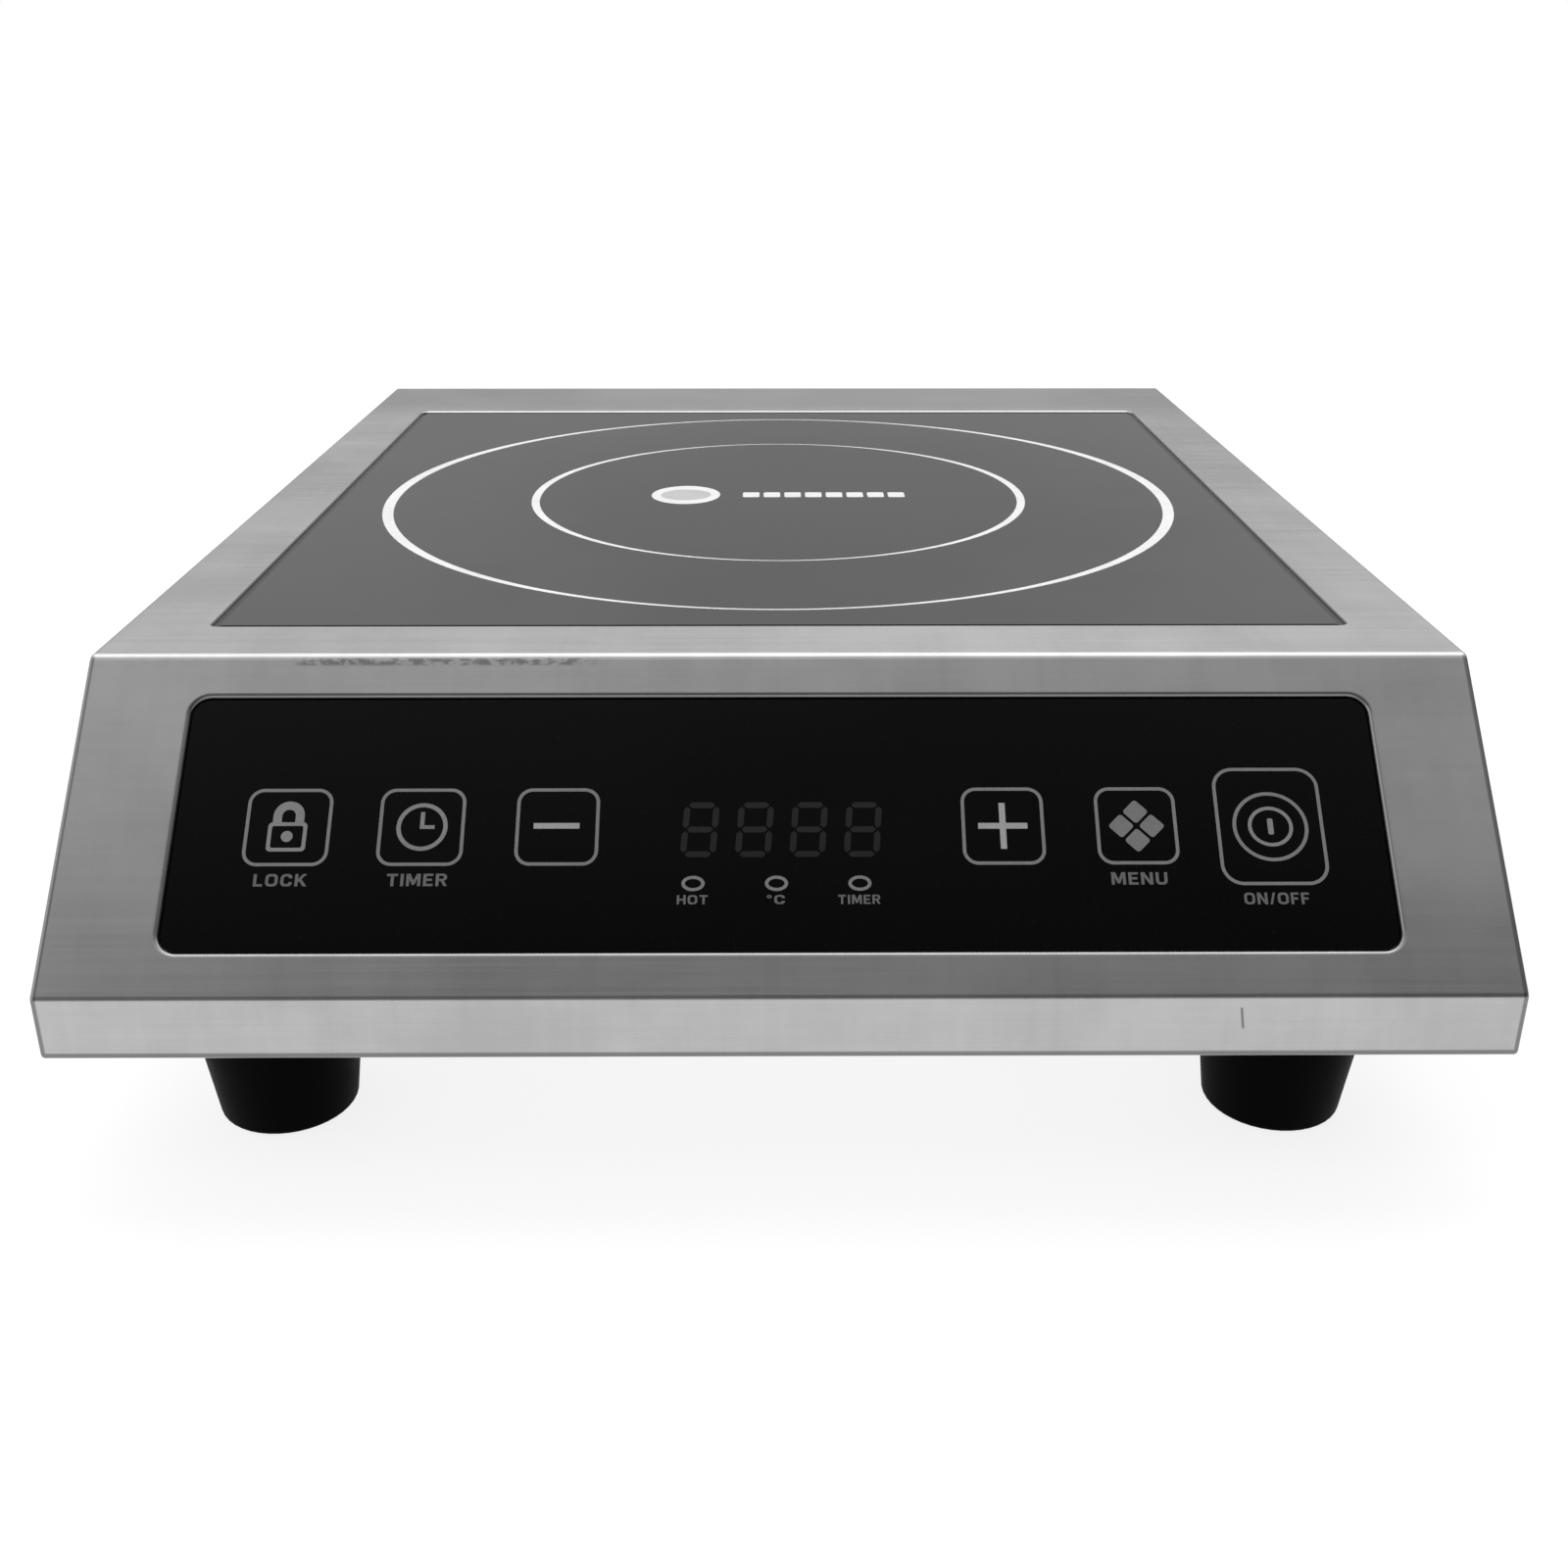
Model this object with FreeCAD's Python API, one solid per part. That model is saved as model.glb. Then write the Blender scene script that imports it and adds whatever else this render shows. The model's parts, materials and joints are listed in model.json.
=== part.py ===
"""Countertop induction cooker, catering type: a folded stainless steel case on four tapered feet,
a square black glass-ceramic hob let into the deck, and a black touch panel in the sloping front.
Units are millimetres. +Z is up, the front faces -Y, and the origin is the centre of the footprint at the table."""

import FreeCAD, Part
import math
import os

V = FreeCAD.Vector
os.makedirs("parts", exist_ok=True)

# ---------------------------------------------------------------- driving dimensions
CASE_W = 330.0          # case width, X
CASE_D = 418.5          # case depth, Y
DECK_Z = 105.5          # height of the deck above the table
CASE_Z = 31.5           # underside of the case shell
SLOPE_Y = 61.4          # run of the sloping front
SLOPE_Z = 58.5          # drop of the sloping front
SHEET = 1.0             # steel sheet thickness
BEND_R = 3.4            # outer bend radius, deck to slope and deck to rear
NOSE_R = 1.8            # outer bend radius, slope to front face
EDGE_R = 1.2            # outer radius of the side edges
ROLL_R = 1.2            # outer radius under the case
FLANGE = 12.0           # width of the return flange under the case
FLANGE_F = 22.0         # the same along the front
PLATE_T = 1.0           # base plate thickness
PLATE_IN = 4.0          # base plate inset from the case edge
FOOT_H = 30.5           # foot height
FOOT_RT, FOOT_RB = 20.4, 16.3   # foot radius at top and bottom
FOOT_X, FOOT_IN = 121.2, 32.1   # foot centre from the middle, and from the front and rear edge
GLASS_W, GLASS_D = 283.3, 276.2         # hob glass, across and deep
GLASS_T = 4.0
GLASS_FRONT = 85.3      # front edge of the glass from the front of the case
GLASS_DROP = 0.4        # glass below the deck
SEAL_W, SEAL_T = 1.5, 1.0       # silicone joint: width beside, and thickness under the glass
POCKET_R = 2.4
PANEL_W, PANEL_H, PANEL_T, PANEL_R = 277.4, 62.5, 2.0, 4.4
PANEL_S = 42.6          # centre of the control panel, down the slope
WINDOW_LIP = 1.1        # radius of the lip round the control window
PANEL_SINK = 0.9        # control panel below the slope
RING_Y = GLASS_FRONT + GLASS_D / 2.0      # hob centre from the front of the case
GLAND_OUT = 22.0        # how far the cable gland stands out behind the case
GLAND_X, GLAND_Z, CORD_R = 128.0, 56.0, 5.0
FAN_X, FAN_Y, FAN_SIZE, FAN_T = 72.0, 112.0, 92.0, 25.0
POST_X, POST_DY = 128.0, 62.0   # coil posts, from the hob centre
SLOT_N, SLOT_P, SLOT_W = 21, 10.0, 3.6  # rear louvre slots

Y0 = -(CASE_D + GLAND_OUT) / 2.0        # front face of the case in the part's frame
YR = Y0 + CASE_D                        # rear face


def Y(d):
    """Part-frame Y of a point d behind the front face."""
    return Y0 + d


# ---------------------------------------------------------------- helpers
def box(x0, x1, y0, y1, z0, z1):
    return Part.makeBox(x1 - x0, y1 - y0, z1 - z0, V(x0, y0, z0))


def cyl(r, x, y, z, h, axis=(0, 0, 1)):
    return Part.makeCylinder(r, h, V(x, y, z), V(*axis))


def ring(ro, ri, x, y, z, h, axis=(0, 0, 1)):
    return cyl(ro, x, y, z, h, axis).cut(cyl(ri, x, y, z, h, axis))


def fuse(items):
    items = list(items)
    if len(items) == 1:
        return items[0]
    return items[0].multiFuse(items[1:]).removeSplitter()


def cut(a, items):
    items = list(items)
    return a.cut(items[0]) if len(items) == 1 else a.cut(Part.makeCompound(items))


def rrect(w, h, r, z0, z1, cx=0.0, cy=0.0):
    """Rounded rectangle w x h about (cx, cy), from z0 to z1."""
    b = Part.makeBox(w, h, z1 - z0, V(cx - w / 2, cy - h / 2, z0))
    if r <= 0:
        return b
    return b.makeFillet(r, [e for e in b.Edges if abs(e.tangentAt(e.FirstParameter).z) > 0.99])


def slot(x0, y0, x1, y1, r, z0, z1):
    """Round-ended slot between two points in XY."""
    d = V(x1 - x0, y1 - y0, 0)
    d.normalize()
    n = V(-d.y, d.x, 0) * r
    a, b = V(x0, y0, z0), V(x1, y1, z0)
    w = Part.Wire([
        Part.LineSegment(a + n, b + n).toShape(),
        Part.Arc(b + n, b + d * r, b - n).toShape(),
        Part.LineSegment(b - n, a - n).toShape(),
        Part.Arc(a - n, a - d * r, a + n).toShape(),
    ])
    return Part.Face(w).extrude(V(0, 0, z1 - z0))


def hexa(af, x, y, z, h, axis=(0, 0, 1), turn=0.0):
    """Hexagonal prism, af across flats, along an axis."""
    ax = V(*axis)
    u = V(1, 0, 0) if abs(ax.x) < 0.9 else V(0, 1, 0)
    v = ax.cross(u)
    u = v.cross(ax)
    r = af / math.sqrt(3)
    pts = [V(x, y, z) + u * (r * math.cos(math.radians(turn + 60 * k))) + v * (r * math.sin(math.radians(turn + 60 * k))) for k in range(7)]
    return Part.Face(Part.makePolygon(pts)).extrude(ax * h)


def prism_yz(pts, x0, x1):
    """Polygon in YZ extruded along X."""
    p = [V(x0, a, b) for a, b in pts]
    return Part.Face(Part.makePolygon(p + [p[0]])).extrude(V(x1 - x0, 0, 0))


def inset(pts, t):
    """Convex polygon given anticlockwise in (y, z), moved inwards by t."""
    n = len(pts)
    lines = []
    for i in range(n):
        (ax, ay), (bx, by) = pts[i], pts[(i + 1) % n]
        lx, ly = bx - ax, by - ay
        m = math.hypot(lx, ly)
        nx, ny = -ly / m, lx / m
        lines.append((ax + nx * t, ay + ny * t, lx, ly))
    out = []
    for i in range(n):
        x1, y1, dx1, dy1 = lines[i - 1]
        x2, y2, dx2, dy2 = lines[i]
        k = ((x2 - x1) * dy2 - (y2 - y1) * dx2) / (dx1 * dy2 - dy1 * dx2)
        out.append((x1 + dx1 * k, y1 + dy1 * k))
    return out


def tube(points, r):
    """Round wire along straight runs joined by tangent arcs, each as large as its runs allow."""
    p = [V(*q) for q in points]
    edges, last = [], p[0]
    for i in range(1, len(p) - 1):
        a, b = (p[i] - p[i - 1]), (p[i + 1] - p[i])
        la, lb = a.Length, b.Length
        a.normalize()
        b.normalize()
        half = a.getAngle(b) / 2
        rad = 0.45 * min(la, lb) / math.tan(half)
        t = 0.45 * min(la, lb)
        s, e = p[i] - a * t, p[i] + b * t
        bis = b - a
        bis.normalize()
        c = p[i] + bis * (rad / math.cos(half))
        m = c - bis * rad
        edges.append(Part.LineSegment(last, s).toShape())
        edges.append(Part.Arc(s, m, e).toShape())
        last = e
    edges.append(Part.LineSegment(last, p[-1]).toShape())
    path = Part.Wire(edges)
    d = p[1] - p[0]
    d.normalize()
    prof = Part.Wire(Part.Circle(p[0], d, r).toShape())
    s = path.makePipeShell([prof], True, False)
    return s if s.Volume > 0 else s.reversed()


def group(items):
    return Part.makeCompound(list(items))


WRITTEN = {}


def save(name, shape):
    solids = shape.Solids
    if not solids or not all(s.isValid() and s.isClosed() and s.Volume > 0 for s in solids):
        print("BAD", name, len(solids), [(s.isValid(), s.isClosed(), round(s.Volume, 2)) for s in solids])
    out = solids[0] if len(solids) == 1 else Part.makeCompound(solids)
    out.exportStep(os.path.join("parts", name + ".step"))
    WRITTEN[name] = (len(solids), round(sum(s.Volume for s in solids) / 1000.0, 2))


# ---------------------------------------------------------------- the sloping front's own frame
SLOPE_L = math.hypot(SLOPE_Y, SLOPE_Z)
_sy, _sz = SLOPE_Y / SLOPE_L, SLOPE_Z / SLOPE_L
SLOPE_M = FreeCAD.Matrix(
    1, 0, 0, 0,
    0, -_sy, _sz, Y(SLOPE_Y),
    0, -_sz, -_sy, DECK_Z,
    0, 0, 0, 1,
)


def on_slope(shape):
    """From (x, distance down the slope, depth inwards) to the part's frame."""
    s = shape.copy()
    s.transformShape(SLOPE_M)
    return s


# ---------------------------------------------------------------- housing shell
profile = [
    (Y(0), CASE_Z), (YR, CASE_Z), (YR, DECK_Z), (Y(SLOPE_Y), DECK_Z), (Y(0), DECK_Z - SLOPE_Z),
]


def case_solid(poly, half, bend, nose, edge, low):
    s = prism_yz(poly, -half, half)
    long_edges = [e for e in s.Edges if abs(e.tangentAt(e.FirstParameter).x) > 0.99 and e.CenterOfMass.z > low + 0.1]
    s = s.makeFillet(bend, [e for e in long_edges if e.CenterOfMass.z > DECK_Z - 5])
    s = s.makeFillet(nose, [e for e in s.Edges if abs(e.tangentAt(e.FirstParameter).x) > 0.99 and low + 0.1 < e.CenterOfMass.z < DECK_Z - SLOPE_Z + 2])
    side = [e for e in s.Edges if abs(abs(e.CenterOfMass.x) - half) < 1e-6 and e.CenterOfMass.z > low + 0.1]
    return s.makeFillet(edge, side)


outer = case_solid(profile, CASE_W / 2, BEND_R, NOSE_R, EDGE_R, CASE_Z)
inner = case_solid(inset(profile, SHEET), CASE_W / 2 - SHEET, BEND_R - SHEET, NOSE_R - SHEET, EDGE_R - SHEET, CASE_Z + SHEET)
shell = outer.cut(inner)
# the return flange under the case
shell = shell.cut(box(-CASE_W / 2 + FLANGE, CASE_W / 2 - FLANGE, Y(FLANGE_F), YR - FLANGE, CASE_Z - 5, CASE_Z + 5))

# pressed pocket for the hob glass
GY = Y(RING_Y)
glass_z1 = DECK_Z - GLASS_DROP
glass_z0 = glass_z1 - GLASS_T
ledge_z1 = glass_z0 - SEAL_T
PW, PD = GLASS_W + 2 * SEAL_W, GLASS_D + 2 * SEAL_W
boss = rrect(PW + 2 * SHEET, PD + 2 * SHEET, POCKET_R + SHEET, ledge_z1 - SHEET, DECK_Z - SHEET / 2, 0, GY)
shell = shell.fuse(boss)
shell = shell.cut(rrect(PW, PD, POCKET_R, ledge_z1, DECK_Z + 5, 0, GY))
OW, OD = GLASS_W - 14.0, GLASS_D - 14.0
shell = shell.cut(rrect(OW, OD, 6.0, ledge_z1 - 5, DECK_Z + 5, 0, GY))

# pressed pocket for the control panel
WW, WH = PANEL_W + 0.4, PANEL_H + 0.4
panel_d0 = PANEL_SINK
panel_d1 = panel_d0 + PANEL_T
GASKET_T = 0.5
ledge_d = panel_d1 + GASKET_T
boss = on_slope(rrect(WW + 2 * SHEET, WH + 2 * SHEET, PANEL_R + 0.2 + SHEET, SHEET / 2, ledge_d + SHEET, 0, PANEL_S))
shell = shell.fuse(boss)
shell = shell.cut(on_slope(rrect(WW, WH, PANEL_R + 0.2, -6, ledge_d, 0, PANEL_S)))
shell = shell.cut(on_slope(rrect(PANEL_W - 10, PANEL_H - 10, 3.0, ledge_d - 1, ledge_d + 6, 0, PANEL_S)))

# rear louvre slots and gland hole
slots = []
for k in range(SLOT_N):
    x = -140.0 + SLOT_P * k
    s = slot(x, 50.0, x, 84.0, SLOT_W / 2, -3, 3)
    s.rotate(V(0, 0, 0), V(1, 0, 0), 90)
    s.translate(V(0, YR, 0))
    slots.append(s)
slots.append(cyl(10.2, GLAND_X, YR - 3, GLAND_Z, 6, (0, 1, 0)))
shell = cut(shell, slots)

# base plate screw holes in the flange
base_screw_xy = []
for sx in (-1, 1):
    for d in (14.0 + 60, 210.0, 420.0 - 74.0):
        base_screw_xy.append((sx * (CASE_W / 2 - 7.0), Y(d)))
for x in (-60.0, 60.0):
    base_screw_xy += [(x, Y(16.0)), (x, Y(CASE_D - 7.0))]
shell = cut(shell, [cyl(2.05, x, y, CASE_Z - 2, 6) for x, y in base_screw_xy])

# rolled lips: round the control window, round the glass pocket, and under the case
lip = []
for e in shell.Edges:
    c = e.CenterOfMass
    # back into the slope's frame
    dy, dz = c.y - Y(SLOPE_Y), c.z - DECK_Z
    s_, d_ = -_sy * dy - _sz * dz, _sz * dy - _sy * dz
    if abs(d_) < 0.02 and 8 < s_ < 79 and abs(c.x) < PANEL_W / 2 + 2 and not (abs(c.x) > 145):
        lip.append(e)
shell = shell.makeFillet(WINDOW_LIP - 0.02, lip)
lip = [e for e in shell.Edges if abs(e.CenterOfMass.z - DECK_Z) < 1e-4 and abs(e.CenterOfMass.x) < PW / 2 + 0.5
       and abs(e.CenterOfMass.y - GY) < PD / 2 + 0.5]
shell = shell.makeFillet(0.7, lip)
lip = [e for e in shell.Edges if abs(e.CenterOfMass.z - CASE_Z) < 1e-4
       and (abs(abs(e.CenterOfMass.x) - CASE_W / 2) < 0.6 or abs(e.CenterOfMass.y - Y(0)) < 0.6 or abs(e.CenterOfMass.y - YR) < 0.6)]
try:
    rolled = shell.makeFillet(ROLL_R, lip)
    if rolled.isValid():
        shell = rolled
    else:
        print("bottom roll invalid")
except Exception as e:
    print("bottom roll skipped", e)
save("housing_shell", shell)

# ---------------------------------------------------------------- hob glass and its silicone joint
g = rrect(GLASS_W, GLASS_D, POCKET_R - 1.4, glass_z0, glass_z1, 0, GY)
g = g.makeChamfer(0.35, [e for e in g.Edges if abs(e.CenterOfMass.z - glass_z1) < 1e-6])
save("hob_glass", g)
seal = rrect(PW, PD, POCKET_R, ledge_z1, glass_z1 - 0.45, 0, GY)
seal = seal.cut(rrect(GLASS_W, GLASS_D, POCKET_R - 1.4, glass_z0, DECK_Z, 0, GY))
seal = seal.cut(rrect(OW + 2, OD + 2, 6.0, ledge_z1 - 1, DECK_Z, 0, GY))
save("glass_seal", seal)

# ---------------------------------------------------------------- control panel and what is behind it
p = rrect(PANEL_W, PANEL_H, PANEL_R, panel_d0, panel_d1, 0, PANEL_S)
p = p.makeChamfer(0.25, [e for e in p.Edges if abs(e.CenterOfMass.z - panel_d0) < 1e-6])
save("control_panel", on_slope(p))
gk = rrect(PANEL_W - 1, PANEL_H - 1, PANEL_R - 0.5, panel_d1, ledge_d, 0, PANEL_S).cut(
    rrect(PANEL_W - 9, PANEL_H - 9, 3.0, panel_d1 - 1, ledge_d + 1, 0, PANEL_S))
save("panel_gasket", on_slope(gk))

BD0, BD1 = 14.0, 15.6      # control board, depth below the slope
board_screws = [(-126, 24.5), (126, 24.5), (-126, 62.5), (126, 62.5), (0, 24.5), (-45, 62.5), (45, 62.5)]
b = rrect(262, 47, 2, BD0, BD1, 0, PANEL_S)
b = cut(b, [cyl(1.6, x, s, BD0 - 1, 4) for x, s in board_screws])
save("control_board", on_slope(b))
BR0, BR1 = 18.6, 19.8      # its bracket
studs = [(-150.0, 24.0), (150.0, 24.0), (-150.0, 62.0), (150.0, 62.0)]
br = rrect(312, 50, 3, BR0, BR1, 0, PANEL_S)
br = cut(br, [cyl(1.7, x, s, BR0 - 1, 4) for x, s in studs] + [cyl(1.3, x, s, BR0 - 1, 4) for x, s in board_screws]
         + [rrect(50, 22, 4, BR0 - 1, BR1 + 1, x, PANEL_S) for x in (-88, -30, 30, 88)])
save("board_bracket", on_slope(br))
save("board_spacers", on_slope(group(ring(3.0, 1.6, x, s, BD1, BR0 - BD1) for x, s in board_screws)))
save("board_screws", on_slope(group(
    fuse([cyl(2.7, x, s, BD0 - 1.8, 1.8), cyl(1.2, x, s, BD0 - 0.5, BR1 - BD0 + 2.0)]) for x, s in board_screws)))
save("bracket_studs", on_slope(group(cyl(1.5, x, s, SHEET, 24.0 - SHEET) for x, s in studs)))
save("bracket_nuts", on_slope(group(hexa(5.5, x, s, BR1, 2.4).cut(cyl(1.5, x, s, BR1 - 1, 5)) for x, s in studs)))
dm = box(-25.1, 25.1, 35.6, 54.8, 5.2, BD0)
dm = cut(dm, [box(-22.5 + 12.5 * k + 1.5, -22.5 + 12.5 * k + 9.0, 38.4, 52.2, 4.0, 5.5) for k in range(4)])
save("display_module", on_slope(dm))
save("indicator_leds", on_slope(group(
    fuse([cyl(1.5, x, 59.8, 6.0, BD0 - 6.0), cyl(1.9, x, 59.8, BD0 - 1.2, 1.2)]) for x in (-20.0, -1.0, 18.0))))
keys = [(-113.6, 44.8), (-82.9, 44.8), (-52.1, 44.8), (50.9, 44.8), (81.7, 44.8), (112.7, 44.6)]
save("touch_springs", on_slope(group(ring(5.5, 4.7, x, s, panel_d1, BD0 - panel_d1) for x, s in keys)))
save("buzzer", on_slope(cyl(6.0, 34.0, 30.0, BD0 - 7.0, 7.0).cut(cyl(1.2, 34.0, 30.0, BD0 - 8.0, 2.0))))

# ---------------------------------------------------------------- base plate
PZ0, PZ1 = CASE_Z - PLATE_T, CASE_Z
plate = rrect(CASE_W - 2 * PLATE_IN, CASE_D - 2 * PLATE_IN, 4.0, PZ0, PZ1, 0, Y(CASE_D / 2))
holes = []
for sx in (-1, 1):
    cx, cy = sx * FAN_X, Y(FAN_Y)
    for k in range(-6, 7):
        dx = k * 6.4
        half = math.sqrt(max(0, 42.0 ** 2 - dx ** 2)) - 2.0
        if k in (-1, 0, 1):
            holes.append(slot(cx + dx, cy + 12.0, cx + dx, cy + half, 1.75, PZ0 - 1, PZ1 + 1))
            holes.append(slot(cx + dx, cy - half, cx + dx, cy - 12.0, 1.75, PZ0 - 1, PZ1 + 1))
        elif half > 6:
            holes.append(slot(cx + dx, cy - half, cx + dx, cy + half, 1.75, PZ0 - 1, PZ1 + 1))
feet_xy = [(sx * FOOT_X, Y(d)) for sx in (-1, 1) for d in (FOOT_IN, CASE_D - FOOT_IN)]
holes += [cyl(2.7, x, y, PZ0 - 1, 4) for x, y in feet_xy]
holes += [cyl(2.3, x, y, PZ0 - 1, 4) for x, y in base_screw_xy]
BX, BY0, BY1 = 115.0, 172.0, 332.0      # power board
stand_xy = [(x, Y(d)) for x in (-BX + 6, BX - 6) for d in (BY0 + 6, (BY0 + BY1) / 2, BY1 - 6)]
holes += [cyl(2.5, x, y, PZ0 - 1, 4) for x, y in stand_xy]
post_xy = [(sx * POST_X, Y(RING_Y + sy * POST_DY)) for sx in (-1, 1) for sy in (-1, 1)]
holes += [cyl(2.2, x, y, PZ0 - 1, 4) for x, y in post_xy]
fan_lug = [(sx * FAN_X + a * 41.25, Y(FAN_Y) + b * 41.25) for sx in (-1, 1) for a in (-1, 1) for b in (-1, 1)]
holes += [cyl(2.2, x, y, PZ0 - 1, 4) for x, y in fan_lug]
# exhaust slots near the rear edge of the plate
for k in range(14):
    x = -91.0 + 14.0 * k
    holes.append(slot(x, Y(352), x, Y(384), 1.75, PZ0 - 1, PZ1 + 1))
save("base_plate", cut(plate, holes))
save("base_screws", group(
    fuse([cyl(3.8, x, y, PZ0 - 2.2, 2.2), cyl(2.05, x, y, PZ0 - 0.5, 8.5)]) for x, y in base_screw_xy))

# ---------------------------------------------------------------- feet
feet = []
for x, y in feet_xy:
    f = Part.makeCone(FOOT_RB, FOOT_RT, FOOT_H, V(x, y, 0))
    f = f.makeFillet(1.6, [e for e in f.Edges if abs(e.CenterOfMass.z) < 1e-6])
    feet.append(f.cut(cyl(7.0, x, y, -1, 21.0)).cut(cyl(2.7, x, y, 0, FOOT_H + 1)))
save("feet", group(feet))
save("foot_washers", group(ring(6.6, 2.45, x, y, 18.8, 1.2) for x, y in feet_xy))
save("foot_screws", group(
    cut(fuse([cyl(4.6, x, y, 15.6, 3.2), cyl(2.45, x, y, 18.0, 19.0)]),
        [box(x - 2.6, x + 2.6, y - 0.5, y + 0.5, 15.0, 17.0), box(x - 0.5, x + 0.5, y - 2.6, y + 2.6, 15.0, 17.0)])
    for x, y in feet_xy))
save("foot_nuts", group(hexa(8.0, x, y, PZ1, 4.0).cut(cyl(2.45, x, y, PZ1 - 1, 6)) for x, y in feet_xy))

# ---------------------------------------------------------------- cable gland at the rear
GX, GZ = GLAND_X, GLAND_Z
ax = (0, 1, 0)
gb = fuse([cyl(9.9, GX, YR - 12, GZ, 25.0, ax), hexa(24.0, GX, YR, GZ, 5.0, ax)])
gb = gb.cut(cyl(6.6, GX, YR - 13, GZ, 30, ax))
save("gland_body", gb)
gn = hexa(24.0, GX, YR + 5.0, GZ, 9.8, ax).fuse(Part.makeCone(12.0, 9.0, GLAND_OUT - 14.8, V(GX, YR + 14.8, GZ), V(*ax)))
gn = gn.cut(cyl(9.9, GX, YR + 4, GZ, 9.6, ax)).cut(cyl(6.9, GX, YR + 5, GZ, 30, ax))
save("gland_nut", gn)
save("gland_seal", ring(6.6, CORD_R, GX, YR + 6.0, GZ, 12.0, ax))
save("gland_locknut", hexa(27.0, GX, YR - SHEET - 5.0, GZ, 5.0, ax).cut(cyl(9.9, GX, YR - 10, GZ, 10, ax)))

# ---------------------------------------------------------------- fans
FZ = PZ1
bushings, stators = [], []
for side, sx in (("left", -1), ("right", 1)):
    cx, cy = sx * FAN_X, Y(FAN_Y)
    fr = rrect(FAN_SIZE, FAN_SIZE, 6.0, FZ, FZ + FAN_T, cx, cy)
    fr = fr.cut(cyl(44.0, cx, cy, FZ - 1, FAN_T + 2))
    # waist between the two flanges, so the frame is a thin round duct there
    waist = rrect(FAN_SIZE + 4, FAN_SIZE + 4, 1.0, FZ + 4, FZ + FAN_T - 4, cx, cy).cut(cyl(45.8, cx, cy, FZ, FAN_T))
    keep = fuse([cyl(4.2, x, y, FZ, FAN_T) for x, y in fan_lug if (x > 0) == (sx > 0)])
    fr = fr.cut(waist.cut(keep))
    spider = [ring(19.0, 3.0, cx, cy, FZ + FAN_T - 3.0, 3.0)]
    for k in range(4):
        bar = Part.makeBox(28.0, 3.2, 3.0, V(17.5, -1.6, 0))
        bar.rotate(V(0, 0, 0), V(0, 0, 1), 45 + 90 * k)
        bar.translate(V(cx, cy, FZ + FAN_T - 3.0))
        spider.append(bar.common(cyl(44.5, cx, cy, FZ, FAN_T + 1)))
    spider.append(ring(5.0, 3.0, cx, cy, FZ + 7.5, FAN_T - 7.5))
    fr = fuse([fr] + spider)
    fr = cut(fr, [cyl(2.1, x, y, FZ - 1, FAN_T + 2) for x, y in fan_lug if (x > 0) == (sx > 0)])
    save("fan_frame_" + side, fr)
    bushings.append(ring(3.0, 1.53, cx, cy, FZ + 8.0, 14.0))
    st = ring(8.0, 5.0, cx, cy, FZ + 9.5, 8.0)
    teeth = []
    for k in range(4):
        t = Part.makeBox(7.2, 4.4, 8.0, V(7.0, -2.2, 0)).fuse(Part.makeBox(1.6, 9.0, 8.0, V(12.8, -4.5, 0)))
        t.rotate(V(0, 0, 0), V(0, 0, 1), 90 * k)
        t.translate(V(cx, cy, FZ + 9.5))
        teeth.append(t)
    stators.append(fuse([st] + teeth))
    # impeller: cup hub with the shaft, and seven twisted blades
    hub = cyl(18.5, cx, cy, FZ + 3.0, 18.0)
    hub = hub.makeFillet(1.4, [e for e in hub.Edges if abs(e.CenterOfMass.z - FZ - 3.0) < 1e-6])
    hub = hub.cut(cyl(16.6, cx, cy, FZ + 5.2, 20.0))
    hub = hub.fuse(cyl(1.5, cx, cy, FZ + 4.0, 17.0))
    blades = []
    for k in range(7):
        a0 = math.radians(360.0 / 7 * k)
        sect = []
        for r, chord, pitch in ((17.6, 15.0, 48.0), (30.0, 19.0, 36.0), (42.2, 23.0, 27.0)):
            sweep = (r - 17.6) / 24.6 * 0.32
            c, s = math.cos(a0 + sweep), math.sin(a0 + sweep)
            rad, tan = V(c, s, 0), V(-s, c, 0)
            pr = math.radians(pitch)
            along = tan * math.cos(pr) + V(0, 0, 1) * math.sin(pr)
            nrm = tan * (-math.sin(pr)) + V(0, 0, 1) * math.cos(pr)
            mid = V(cx, cy, FZ + 12.0) + rad * r
            th = 0.8
            q = [mid - along * chord / 2 - nrm * th, mid + along * chord / 2 - nrm * th,
                 mid + along * chord / 2 + nrm * th, mid - along * chord / 2 + nrm * th]
            sect.append(Part.makePolygon(q + [q[0]]))
        blades.append(Part.makeLoft(sect, True, True))
    blades = [b.common(ring(42.0, 17.0, cx, cy, FZ + 2.0, 20.0)) for b in blades]
    rotor = fuse([hub] + blades)
    save("fan_rotor_" + side, rotor)
save("fan_bushings", group(bushings))
save("fan_stators", group(stators))
save("fan_screws", group(
    fuse([cyl(3.6, x, y, PZ0 - 2.0, 2.0), cyl(2.1, x, y, PZ0 - 0.5, 12.0)]) for x, y in fan_lug))

# ---------------------------------------------------------------- air guide round the fans and the heat sink
ag = fuse([
    box(-120, 120, Y(62.0), Y(63.5), PZ1, PZ1 + 37),
    box(-120, -118.5, Y(62.0), Y(244.0), PZ1, PZ1 + 37),
    box(118.5, 120, Y(62.0), Y(244.0), PZ1, PZ1 + 37),
    box(-1.0, 1.0, Y(63.0), Y(166.0), PZ1, PZ1 + 37),
])
save("air_guide", ag)

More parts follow.
